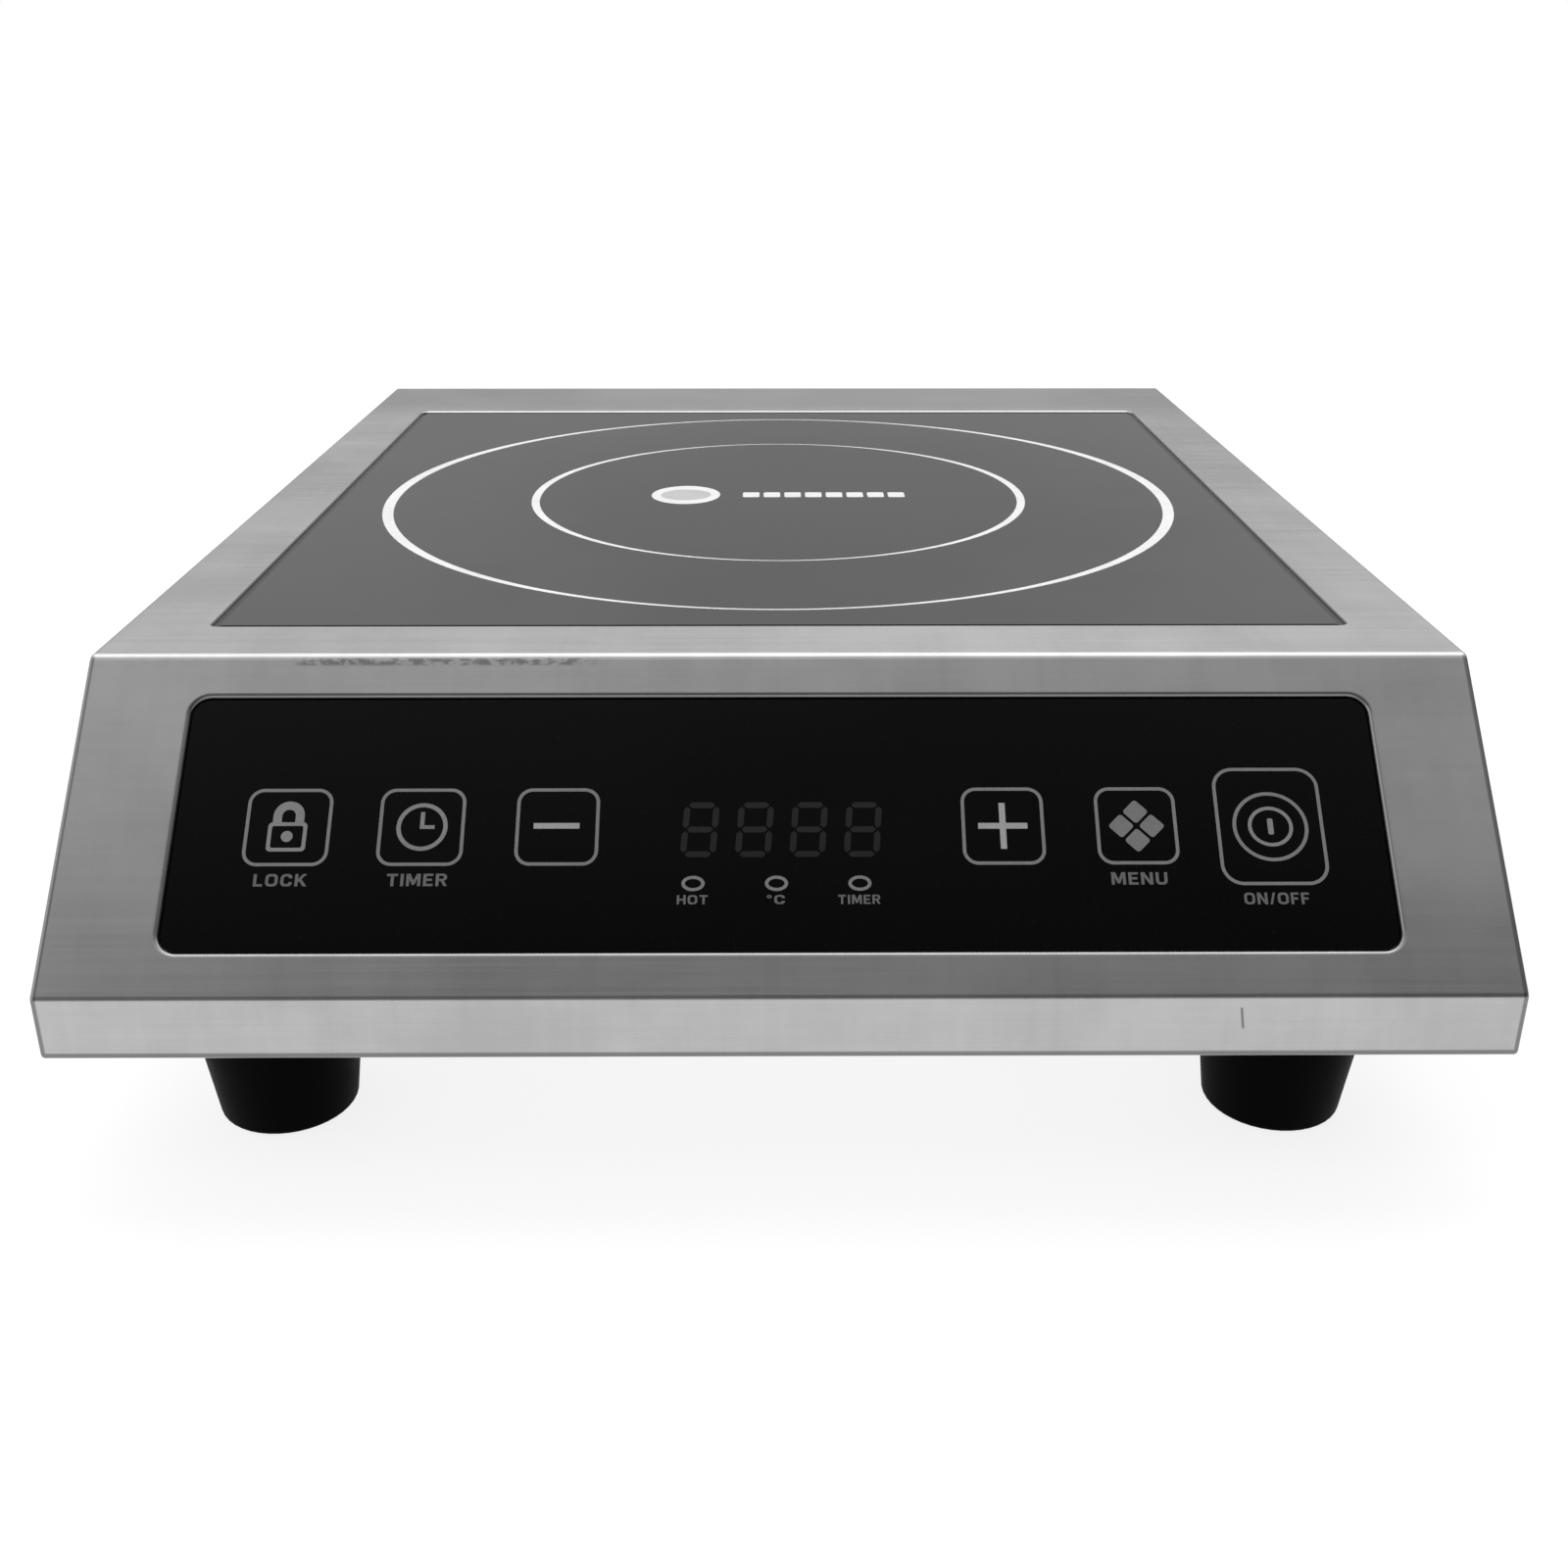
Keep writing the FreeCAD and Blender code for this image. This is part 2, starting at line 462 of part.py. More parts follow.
# ---------------------------------------------------------------- power board and its parts
MZ0, MZ1 = PZ1 + 8.0, PZ1 + 9.6
mb = rrect(2 * BX, BY1 - BY0, 3.0, MZ0, MZ1, 0, Y((BY0 + BY1) / 2))
mb = cut(mb, [cyl(1.7, x, y, MZ0 - 1, 4) for x, y in stand_xy])
save("power_board", mb)
save("board_standoffs", group(
    fuse([cyl(3.4, x, y, PZ1, 8.0), cyl(2.5, x, y, PZ0, 1.5)]).cut(cyl(1.4, x, y, PZ0 + 2.0, 12.0)) for x, y in stand_xy))
save("power_board_screws", group(
    fuse([cyl(2.9, x, y, MZ1, 2.0), cyl(1.4, x, y, MZ1 - 6.0, 6.5)]) for x, y in stand_xy))
semis = [box(-66 + 34 * k, -50 + 34 * k, Y(196), Y(217), MZ1, MZ1 + 5.0) for k in range(4)] + [
    box(70, 92, Y(192), Y(222), MZ1, MZ1 + 5.0)]
save("power_transistors", group(semis))
hs0 = MZ1 + 5.0
hsx0, hsx1 = -98.0, 98.0
fins = [box(hsx0, hsx1, Y(178), Y(240), hs0, hs0 + 5.0)]
nf = 19
for k in range(nf):
    x = hsx0 + 0.9 + (hsx1 - hsx0 - 1.8) * k / (nf - 1)
    fins.append(box(x - 0.9, x + 0.9, Y(178), Y(240), hs0 + 4.5, 78.0))
save("heat_sink", fuse(fins))
save("film_capacitors", group([
    rrect(42, 24, 1.0, MZ1, MZ1 + 32, -83, Y(262)), rrect(42, 24, 1.0, MZ1, MZ1 + 32, -38, Y(262)),
    rrect(32, 18, 1.0, MZ1, MZ1 + 26, -88, Y(290)), rrect(26, 11, 1.0, MZ1, MZ1 + 20, 0, Y(322))]))
caps = []
for x, d, r, h in ((8, 256, 8.0, 30.0), (28, 256, 8.0, 30.0), (-4, 300, 5.0, 17.0), (10, 300, 5.0, 17.0), (24, 300, 4.0, 12.0)):
    c = cyl(r, x, Y(d), MZ1, h)
    caps.append(c.makeFillet(0.8, [e for e in c.Edges if abs(e.CenterOfMass.z - MZ1 - h) < 1e-6]))
save("electrolytic_capacitors", group(caps))
save("chokes", group([ring(19.0, 8.0, 62, Y(266), MZ1, 16.0), ring(15.0, 6.5, 60, Y(306), MZ1, 13.0)]))
save("auxiliary_transformer", fuse([
    box(-44, -20, Y(286), Y(306), MZ1 + 5, MZ1 + 15), box(-40, -24, Y(289), Y(303), MZ1, MZ1 + 20)]))
save("mains_fuse", fuse([cyl(2.6, 84, Y(284), MZ1 + 5.0, 20.0, (1, 0, 0)),
                         cyl(3.1, 84, Y(284), MZ1 + 5.0, 5.0, (1, 0, 0)), cyl(3.1, 99, Y(284), MZ1 + 5.0, 5.0, (1, 0, 0)),
                         box(84.5, 88.5, Y(282.5), Y(285.5), MZ1, MZ1 + 4), box(99.5, 103.5, Y(282.5), Y(285.5), MZ1, MZ1 + 4)]))
save("board_connectors", group([
    box(-112, -106, Y(204), Y(216), MZ1, MZ1 + 8), box(-112, -106, Y(222), Y(234), MZ1, MZ1 + 8),
    box(96, 108, Y(262), Y(274), MZ1, MZ1 + 8), box(-76, -52, Y(318), Y(326), MZ1, MZ1 + 8),
    box(-108, -100, Y(184), Y(192), MZ1, MZ1 + 7), box(100, 108, Y(184), Y(192), MZ1, MZ1 + 7)]))

# ---------------------------------------------------------------- terminal block for the supply lead
TX, TY = GLAND_X, Y(370.0)
tb = rrect(42.0, 22.0, 1.5, PZ1, PZ1 + 17.0, TX, TY)
tb = cut(tb, [cyl(2.6, TX + dx, TY - 12, PZ1 + 7.0, 24, (0, 1, 0)) for dx in (-12.5, 0, 12.5)]
         + [cyl(2.4, TX + dx, TY + dy, PZ1 + 7.0, 12) for dx in (-12.5, 0, 12.5) for dy in (-5, 5)])
save("terminal_block", tb)
save("terminal_screws", group(
    cyl(2.4, TX + dx, TY + dy, PZ1 + 10.0, 6.0) for dx in (-12.5, 0, 12.5) for dy in (-5, 5)))

# ---------------------------------------------------------------- the sprung coil unit
HX, HY = 0.0, Y(RING_Y)
MICA1 = glass_z0
MICA0 = MICA1 - 0.5
WIND0 = MICA0 - 4.6
CARR0 = WIND0 - 3.0
ARM0 = CARR0 - 4.0
save("mica_sheet", rrect(232, 232, 20.0, MICA0, MICA1, HX, HY).cut(cyl(11.0, HX, HY, MICA0 - 1, 4)))
save("coil_winding", ring(103.0, 28.0, HX, HY, WIND0, 4.6))
carrier = [cyl(108.0, HX, HY, CARR0, WIND0 - CARR0), ring(108.0, 104.5, HX, HY, CARR0, MICA0 - CARR0),
           ring(26.5, 20.0, HX, HY, CARR0, MICA0 - CARR0)]
for x, y in post_xy:
    dx, dy = x - HX, y - HY
    ln = math.hypot(dx, dy)
    arm = Part.makeBox(ln - 98.0, 16.0, 7.0, V(98.0, -8.0, 0))
    arm.rotate(V(0, 0, 0), V(0, 0, 1), math.degrees(math.atan2(dy, dx)))
    arm.translate(V(HX, HY, ARM0))
    carrier += [arm, cyl(10.0, x, y, ARM0, 7.0)]
carrier = fuse(carrier)
holes = [cyl(3.35, x, y, ARM0 - 1, 12) for x, y in post_xy] + [cyl(16.0, HX, HY, CARR0 - 1, 5)]
for k in range(16):
    a = math.radians(22.5 * k + 11.25)
    for r in (44.0, 66.0, 88.0):
        rr = 5.0 if r < 50 else (7.5 if r < 70 else 9.0)
        if rr < r * math.sin(math.radians(11.25)):
            holes.append(cyl(rr, HX + r * math.cos(a), HY + r * math.sin(a), CARR0 - 1, 5))
save("coil_carrier", cut(carrier, holes))
bars = []
for k in range(8):
    b = Part.makeBox(62.0, 15.0, 5.0, V(33.0, -7.5, 0))
    b.rotate(V(0, 0, 0), V(0, 0, 1), 45 * k)
    b.translate(V(HX, HY, CARR0 - 5.0))
    bars.append(b)
save("ferrite_bars", group(bars))
save("sensor_holder", ring(20.0, 6.0, HX, HY, CARR0 + 3.2, 1.6).fuse(ring(9.0, 6.0, HX, HY, CARR0 + 3.2, 3.6)))
save("temperature_sensor", fuse([cyl(6.0, HX, HY, CARR0 + 2.0, MICA1 - CARR0 - 2.0), cyl(8.2, HX, HY, MICA0 - 0.6, 1.1)]))
POSTZ = ARM0 - 18.5
CLIPZ = ARM0 + 7.0
save("coil_posts", group(
    fuse([cyl(2.2, x, y, PZ0, 1.5), cyl(6.0, x, y, PZ1, POSTZ - PZ1), cyl(3.0, x, y, POSTZ - 1, CLIPZ + 3.0 - POSTZ)]) for x, y in post_xy))
save("coil_springs", group(ring(5.2, 3.7, x, y, POSTZ, ARM0 - POSTZ) for x, y in post_xy))
save("coil_clips", group(ring(5.6, 3.0, x, y, CLIPZ, 0.9) for x, y in post_xy))

# ---------------------------------------------------------------- wiring
mz = MZ1 + 8.0
save("coil_leads", group([
    tube([(-109, Y(210), mz), (-109, Y(210), mz + 12), (-109, Y(219), mz + 25), (-108, Y(236), CARR0 - 9), (-92, Y(244), CARR0 - 5),
          (-80, Y(244), CARR0 - 5)], 2.0),
    tube([(-109, Y(228), mz), (-109, Y(228), mz + 10), (-108, Y(238), mz + 19), (-104, Y(252), CARR0 - 12), (-88, Y(257), CARR0 - 5),
          (-76, Y(257), CARR0 - 5)], 2.0)]))
save("supply_wires", group(
    tube([(TX + dx, TY - 11.0, PZ1 + 7.0), (TX + dx, TY - 21, PZ1 + 7.0), (TX + dx - 4, TY - 34, PZ1 + 9.0), (116 - k * 4.0, TY - 44, PZ1 + 17.0),
          (104 - k * 4.0, TY - 52, PZ1 + 22.0), (101 - k * 4.0, TY - 60.0, MZ1 + 9.5), (101 - k * 4.0, TY - 60.0, MZ1)], 1.5)
    for k, dx in enumerate((-12.5, 0, 12.5))))
save("fan_leads", group(
    tube([(sx * (FAN_X + 40), Y(FAN_Y + 30), FZ + FAN_T), (sx * (FAN_X + 40), Y(FAN_Y + 30), FZ + FAN_T + 6), (sx * (FAN_X + 38), Y(FAN_Y + 42), FZ + FAN_T + 8),
          (sx * (FAN_X + 34), Y(FAN_Y + 62), FZ + FAN_T + 7), (sx * 104, Y(188), FZ + FAN_T + 2), (sx * 104, Y(188), MZ1 + 7)], 1.2)
    for sx in (-1, 1)))
# flat ribbon from the control board back to the power board
RIBBON_W = 15.0


def strip(line, t, x0, x1):
    """Flat strip of thickness t following a polyline in YZ."""
    left, right = [], []
    n = len(line)
    for i, (y, z) in enumerate(line):
        a = line[max(0, i - 1)]
        b = line[min(n - 1, i + 1)]
        if i in (0, n - 1):
            ny, nz = -(b[1] - a[1]), (b[0] - a[0])
            m = math.hypot(ny, nz)
            ny, nz, k = ny / m, nz / m, 1.0
        else:
            n1 = (-(z - a[1]), (y - a[0]))
            n2 = (-(b[1] - z), (b[0] - y))
            m1, m2 = math.hypot(*n1), math.hypot(*n2)
            n1, n2 = (n1[0] / m1, n1[1] / m1), (n2[0] / m2, n2[1] / m2)
            ny, nz = n1[0] + n2[0], n1[1] + n2[1]
            m = math.hypot(ny, nz)
            ny, nz = ny / m, nz / m
            k = 1.0 / max(0.35, ny * n1[0] + nz * n1[1])
        left.append((y + ny * t / 2 * k, z + nz * t / 2 * k))
        right.append((y - ny * t / 2 * k, z - nz * t / 2 * k))
    return prism_yz(left + right[::-1], x0, x1)


def ribbon():
    # starts at the back of the control board, above the bracket's middle opening
    s, d = 43.3, BD1
    start = (Y(SLOPE_Y) - _sy * s + _sz * d, DECK_Z - _sz * s - _sy * d)
    out = (start[0] + _sz * 9.0, start[1] - _sy * 9.0)
    line = [start, out, (Y(59.0), 56.0), (Y(60.3), 66.0), (Y(63.0), 72.0), (Y(70.0), 74.5), (Y(150.0), 74.5), (Y(162.0), 73.0),
            (Y(169.5), 66.0), (Y(173.5), 56.0), (Y(174.5), 48.0), (Y(174.5), MZ1)]
    return strip(line, 0.9, 22.0, 22.0 + RIBBON_W)


save("control_ribbon", ribbon())

print(len(WRITTEN), "nodes")
for n, (k, v) in sorted(WRITTEN.items()):
    print(f"  {n:26s} solids {k:2d}  volume {v:8.2f} cm3")
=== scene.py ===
"""Studio picture of a countertop induction cooker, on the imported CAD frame. Metres; +Z up; the front faces -Y."""
import bpy, bmesh, json, math
from mathutils import Matrix, Vector


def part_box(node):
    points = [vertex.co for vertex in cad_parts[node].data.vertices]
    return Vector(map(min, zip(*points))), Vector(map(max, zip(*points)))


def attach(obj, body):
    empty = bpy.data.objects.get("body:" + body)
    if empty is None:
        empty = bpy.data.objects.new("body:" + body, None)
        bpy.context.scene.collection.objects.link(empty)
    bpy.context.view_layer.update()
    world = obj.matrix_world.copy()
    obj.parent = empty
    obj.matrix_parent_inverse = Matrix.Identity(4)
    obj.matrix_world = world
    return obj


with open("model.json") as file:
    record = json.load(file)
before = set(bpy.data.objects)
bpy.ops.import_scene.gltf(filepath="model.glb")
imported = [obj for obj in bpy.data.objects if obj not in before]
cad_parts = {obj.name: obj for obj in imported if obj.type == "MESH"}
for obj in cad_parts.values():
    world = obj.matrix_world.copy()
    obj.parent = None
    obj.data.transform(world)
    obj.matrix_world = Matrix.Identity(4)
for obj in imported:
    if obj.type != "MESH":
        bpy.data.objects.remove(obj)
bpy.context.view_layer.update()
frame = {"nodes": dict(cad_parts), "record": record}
nodes = frame["nodes"]
scene = bpy.context.scene
scene.view_settings.view_transform = "Standard"
scene.view_settings.look = "None"
scene.view_settings.exposure = 0.0
scene.view_settings.gamma = 1.0

MM = 0.001

# ---------------------------------------------------------------- places, from the CAD boxes
shell_lo, shell_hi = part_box("housing_shell")
glass_lo, glass_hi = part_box("hob_glass")
FRONT = shell_lo.y                       # plane of the front face
DECK = shell_hi.z                        # plane of the deck
CASE = shell_lo.z                        # underside of the case
BACK = glass_hi.y                        # rear edge of the hob glass
HOB = Vector(((glass_lo.x + glass_hi.x) / 2, (glass_lo.y + glass_hi.y) / 2, glass_hi.z))
RUN, DROP = 61.4 * MM, 58.5 * MM         # the sloping front
SL = math.hypot(RUN, DROP)
SY, SZ = RUN / SL, DROP / SL
LIP = 0.9 * MM                           # the panel's face lies this far under the slope


def on_panel(d=0.0):
    """Matrix from (x across, y up the slope, z outwards), all metres from the top bend, to the row frame. d lifts it off the panel's face."""
    n = Vector((0, -SZ, SY))
    up = Vector((0, SY, SZ))
    o = Vector((0, FRONT + RUN, DECK)) - n * (LIP - d)
    return Matrix(((1, 0, 0, o.x), (0, up.y, n.y, o.y), (0, up.z, n.z, o.z), (0, 0, 0, 1)))


# ---------------------------------------------------------------- camera
cam = bpy.data.cameras.new("camera")
cam_ob = bpy.data.objects.new("camera", cam)
scene.collection.objects.link(cam_ob)
scene.camera = cam_ob
cam.sensor_fit = "HORIZONTAL"
cam.sensor_width = 36.0
cam.lens = 1709.63 * 36.0 / 1600.0
cam.clip_start, cam.clip_end = 0.01, 100.0
pitch, yaw, roll = 0.4076, 0.00594, 0.00053
F = Vector((math.sin(yaw) * math.cos(pitch), math.cos(yaw) * math.cos(pitch), -math.sin(pitch)))
R = Vector((math.cos(yaw), -math.sin(yaw), 0))
U = R.cross(F)
R2 = R * math.cos(roll) + U * math.sin(roll)
U2 = U * math.cos(roll) - R * math.sin(roll)
cam_ob.matrix_world = Matrix((
    (R2.x, U2.x, -F.x, -1.319 * MM), (R2.y, U2.y, -F.y, FRONT + RUN - 380.295 * MM),
    (R2.z, U2.z, -F.z, DECK + 130.399 * MM), (0, 0, 0, 1)))


# ---------------------------------------------------------------- node helpers
class Nodes:
    def __init__(self, tree):
        self.t = tree
        self.t.nodes.clear()

    def new(self, kind, inputs=None, **props):
        n = self.t.nodes.new(kind)
        for k, v in props.items():
            setattr(n, k, v)
        for k, v in (inputs or {}).items():
            s = n.inputs[k]
            if isinstance(v, bpy.types.NodeSocket):
                self.t.links.new(v, s)
            else:
                s.default_value = v
        return n

    def math(self, op, a, b=0.0, c=None, clamp=False):
        ins = {0: a, 1: b}
        if c is not None:
            ins[2] = c
        n = self.new("ShaderNodeMath", ins, operation=op)
        n.use_clamp = clamp
        return n.outputs[0]

    def vec(self, op, a, b=None):
        ins = {0: a}
        if b is not None:
            ins[1] = b
        n = self.new("ShaderNodeVectorMath", ins, operation=op)
        return n.outputs["Value"] if op in ("DOT_PRODUCT", "LENGTH") else n.outputs[0]

    def step(self, v, lo, hi, a=0.0, b=1.0):
        n = self.new("ShaderNodeMapRange", {"Value": v, "From Min": lo, "From Max": hi, "To Min": a, "To Max": b}, interpolation_type="SMOOTHSTEP")
        n.clamp = True
        return n.outputs["Result"]

    def mix(self, f, a, b):
        n = self.new("ShaderNodeMix", data_type="RGBA")
        for k, v in (("Factor", f), ("A", a), ("B", b)):
            s = [q for q in n.inputs if q.name == k and q.enabled][0]
            if isinstance(v, bpy.types.NodeSocket):
                self.t.links.new(v, s)
            elif k == "Factor":
                s.default_value = v
            else:
                s.default_value = (*v, 1.0) if len(v) == 3 else v
        return [q for q in n.outputs if q.enabled][0]

    def noise(self, vec, scale, detail=2.0, rough=0.5, stretch=None):
        if stretch is not None:
            vec = self.vec("MULTIPLY", vec, stretch)
        return self.new("ShaderNodeTexNoise", {"Vector": vec, "Scale": scale, "Detail": detail, "Roughness": rough}).outputs[0]

    def obj(self):
        return self.new("ShaderNodeTexCoord").outputs["Object"]


def material(name):
    m = bpy.data.materials.new(name)
    m.use_nodes = True
    return m, Nodes(m.node_tree)


def finish_mat(N, bsdf):
    N.new("ShaderNodeOutputMaterial", {"Surface": bsdf.outputs[0]})


def plain(name, color, rough, metallic=0.0, tint=0.12, grain=900.0, bump=0.02, spec=0.5, coat=0.0, stretch=(1, 1, 1), rough_var=0.06):
    """A finish with fine colour and roughness variation and a fine surface grain."""
    m, N = material(name)
    p = N.obj()
    big = N.noise(p, 45.0, 3.0, 0.6)
    fine = N.noise(p, grain, 2.0, 0.6, stretch)
    both = N.math("ADD", N.math("MULTIPLY", big, 0.5), N.math("MULTIPLY", fine, 0.5))
    c0 = [max(0.0, c * (1 - tint)) for c in color]
    c1 = [min(1.0, c * (1 + tint)) for c in color]
    col = N.mix(both, c0, c1)
    r = N.step(both, 0.3, 0.7, rough - rough_var, rough + rough_var)
    b = N.new("ShaderNodeBump", {"Strength": 0.5, "Distance": bump * MM, "Height": fine})
    s = N.new("ShaderNodeBsdfPrincipled", {"Base Color": col, "Roughness": r, "Metallic": metallic, "Normal": b.outputs[0], "Specular IOR Level": spec, "Coat Weight": coat})
    finish_mat(N, s)
    return m


# ---------------------------------------------------------------- stainless steel, brushed
def steel():
    m, N = material("stainless_brushed")
    p = N.obj()
    xyz = N.new("ShaderNodeSeparateXYZ", {0: p})
    x, y, z = xyz.outputs
    nrm = N.new("ShaderNodeSeparateXYZ", {0: N.new("ShaderNodeNewGeometry").outputs["Normal"]})
    side = N.step(N.math("ABSOLUTE", nrm.outputs[0]), 0.6, 0.8)
    # brushing runs along X, and along Y on the two sides
    gx = N.noise(p, 1.0, 4.0, 0.65, (26.0, 2600.0, 2600.0))
    gx2 = N.noise(p, 1.0, 3.0, 0.6, (9.0, 700.0, 700.0))
    gy = N.noise(p, 1.0, 4.0, 0.65, (2600.0, 26.0, 2600.0))
    gy2 = N.noise(p, 1.0, 3.0, 0.6, (700.0, 9.0, 700.0))

    def pick(a, b):
        return N.math("ADD", N.math("MULTIPLY", a, N.math("SUBTRACT", 1.0, side)), N.math("MULTIPLY", b, side))

    fine = pick(gx, gy)
    band = pick(gx2, gy2)
    cloud = N.noise(p, 9.0, 3.0, 0.55)
    blot = N.noise(p, 34.0, 4.0, 0.6)
    # down-the-slope streaks beside the control window
    streak = N.noise(p, 1.0, 3.0, 0.6, (260.0, 7.0, 7.0))
    tone = N.math("ADD", N.math("MULTIPLY", cloud, 0.26), N.math("MULTIPLY", blot, 0.38))
    tone = N.math("ADD", tone, N.math("MULTIPLY", band, 0.10))
    tone = N.math("ADD", tone, N.math("MULTIPLY", fine, 0.14))
    tone = N.math("ADD", tone, N.math("MULTIPLY", streak, 0.12))
    col = N.mix(N.step(tone, 0.36, 0.64), (0.41, 0.41, 0.41), (0.50, 0.50, 0.50))
    # painted shade: the strip of deck behind the hob is darkened, standing for a dimmer reflection there
    behind = N.math("MULTIPLY", N.step(y, BACK - 14 * MM, BACK + 20 * MM), N.step(nrm.outputs[2], 0.3, 0.8))
    col = N.mix(N.math("MULTIPLY", behind, 0.60), col, (0.27, 0.27, 0.27))
    # painted highlight: a pale patch on the right of the slope, standing for a brighter reflection there
    s = N.math("DIVIDE", N.math("SUBTRACT", DECK, z), SZ)
    pale = N.math("MULTIPLY", N.step(x, 0.118, 0.146), N.math("MULTIPLY", N.step(s, 12 * MM, 34 * MM), N.step(s, 74 * MM, 50 * MM)))
    pale = N.math("MULTIPLY", N.math("MULTIPLY", pale, N.step(nrm.outputs[1], -0.5, -0.6)), N.step(blot, 0.25, 0.6, 0.4, 1.0))
    col = N.mix(N.math("MULTIPLY", pale, 0.5), col, (0.62, 0.62, 0.62))
    # a scuffed patch under the top bend, and one short scratch on the front face
    scuff = N.math("MULTIPLY", N.step(s, 0.8 * MM, 1.2 * MM), N.step(s, 3.2 * MM, 2.4 * MM))
    scuff = N.math("MULTIPLY", scuff, N.math("MULTIPLY", N.step(x, -0.117, -0.113), N.step(x, -0.040, -0.052)))
    scuff = N.math("MULTIPLY", scuff, N.step(nrm.outputs[1], -0.5, -0.6))
    scuff = N.math("MULTIPLY", scuff, N.step(N.noise(p, 1.0, 3.0, 0.7, (330.0, 500.0, 500.0)), 0.41, 0.56))
    lean = N.math("ADD", x, N.math("MULTIPLY", z, 0.16))
    scratch = N.math("MULTIPLY", N.step(N.math("ABSOLUTE", N.math("SUBTRACT", lean, 0.1086)), 0.00042, 0.00014),
                     N.math("MULTIPLY", N.step(z, 0.0385, 0.0395), N.step(z, 0.0446, 0.0440)))
    scratch = N.math("MULTIPLY", scratch, N.step(nrm.outputs[1], -0.90, -0.98))
    col = N.mix(N.math("MULTIPLY", scuff, 0.72), col, (0.16, 0.16, 0.16))
    col = N.mix(N.math("MULTIPLY", scratch, 0.75), col, (0.10, 0.10, 0.10))
    # painted highlight on the deck just behind the hob glass, standing for the light caught by the opening's rounded
    # edge
    lip_highlight = N.math("MULTIPLY", N.step(y, BACK + 0.2 * MM, BACK + 0.6 * MM), N.step(y, BACK + 4.0 * MM, BACK + 3.0 * MM))
    lip_highlight = N.math("MULTIPLY", lip_highlight, N.step(nrm.outputs[2], -0.2, 0.0))
    lip_highlight = N.math("MULTIPLY", lip_highlight, N.step(N.math("ABSOLUTE", x), glass_hi.x + 1 * MM, glass_hi.x - 1 * MM))
    col = N.mix(N.math("MULTIPLY", lip_highlight, 0.9), col, (0.85, 0.85, 0.85))
    # painted shade along the folded side edges, the outer edges of the front faces and the bottom edge
    ax = N.math("ABSOLUTE", nrm.outputs[0])
    fold_shade = N.math("MULTIPLY", N.step(ax, 0.12, 0.45), N.step(ax, 0.995, 0.93))
    hem_shade = N.math("MULTIPLY", N.step(z, CASE + 1.95 * MM, CASE + 1.55 * MM), N.step(z, CASE + 0.3 * MM, CASE + 0.7 * MM))
    rim_shade = N.math("MULTIPLY", N.step(N.math("ABSOLUTE", x), shell_hi.x - 1.7 * MM, shell_hi.x - 1.2 * MM), N.step(nrm.outputs[1], -0.3, -0.5))
    hem_shade = N.math("MAXIMUM", hem_shade, rim_shade)
    col = N.mix(N.math("MULTIPLY", N.math("MAXIMUM", fold_shade, hem_shade), 0.78), col, (0.14, 0.14, 0.14))
    # painted shade: the opening's lower edge is darkened a little against the bend above it
    upslope = N.math("ADD", N.math("MULTIPLY", nrm.outputs[1], SY), N.math("MULTIPLY", nrm.outputs[2], SZ))
    sill_shade = N.math("MULTIPLY", N.step(upslope, 0.2, 0.5), N.step(y, FRONT + RUN - 6 * MM, FRONT + RUN - 8 * MM))
    col = N.mix(N.math("MULTIPLY", sill_shade, 0.4), col, (0.22, 0.22, 0.22))
    # painted shade: the upper edge of the opening, facing down the slope, is darkened
    head_shade = N.math("MULTIPLY", N.step(z, DECK - 10 * MM, DECK - 9 * MM), N.step(z, DECK - 4.5 * MM, DECK - 5.5 * MM))
    head_shade = N.math("MULTIPLY", head_shade, N.step(upslope, -0.15, -0.5))
    col = N.mix(N.math("MULTIPLY", head_shade, 0.75), col, (0.16, 0.16, 0.16))
    rough = N.step(N.math("ADD", N.math("MULTIPLY", cloud, 0.5), N.math("MULTIPLY", band, 0.5)), 0.3, 0.7, 0.26, 0.33)
    h = N.math("ADD", N.math("MULTIPLY", fine, 1.0), N.math("MULTIPLY", band, 0.3))
    b = N.new("ShaderNodeBump", {"Strength": 0.35, "Distance": 0.012 * MM, "Height": h})
    sh = N.new("ShaderNodeBsdfPrincipled", {"Base Color": col, "Roughness": rough, "Metallic": 1.0, "Normal": b.outputs[0]})
    finish_mat(N, sh)
    return m


def zinc(name="zinc_plate", color=(0.46, 0.47, 0.48), rough=0.42):
    m, N = material(name)
    p = N.obj()
    cell = N.new("ShaderNodeTexVoronoi", {"Vector": p, "Scale": 130.0}).outputs["Color"]
    g = N.new("ShaderNodeSeparateXYZ", {0: cell}).outputs[0]
    fine = N.noise(p, 700.0, 2.0)
    t = N.math("ADD", N.math("MULTIPLY", g, 0.6), N.math("MULTIPLY", fine, 0.4))
    col = N.mix(t, [c * 0.86 for c in color], [min(1, c * 1.12) for c in color])
    r = N.step(t, 0.2, 0.8, rough - 0.08, rough + 0.08)
    b = N.new("ShaderNodeBump", {"Strength": 0.3, "Distance": 0.01 * MM, "Height": fine})
    s = N.new("ShaderNodeBsdfPrincipled", {"Base Color": col, "Roughness": r, "Metallic": 1.0, "Normal": b.outputs[0]})
    finish_mat(N, s)
    return m


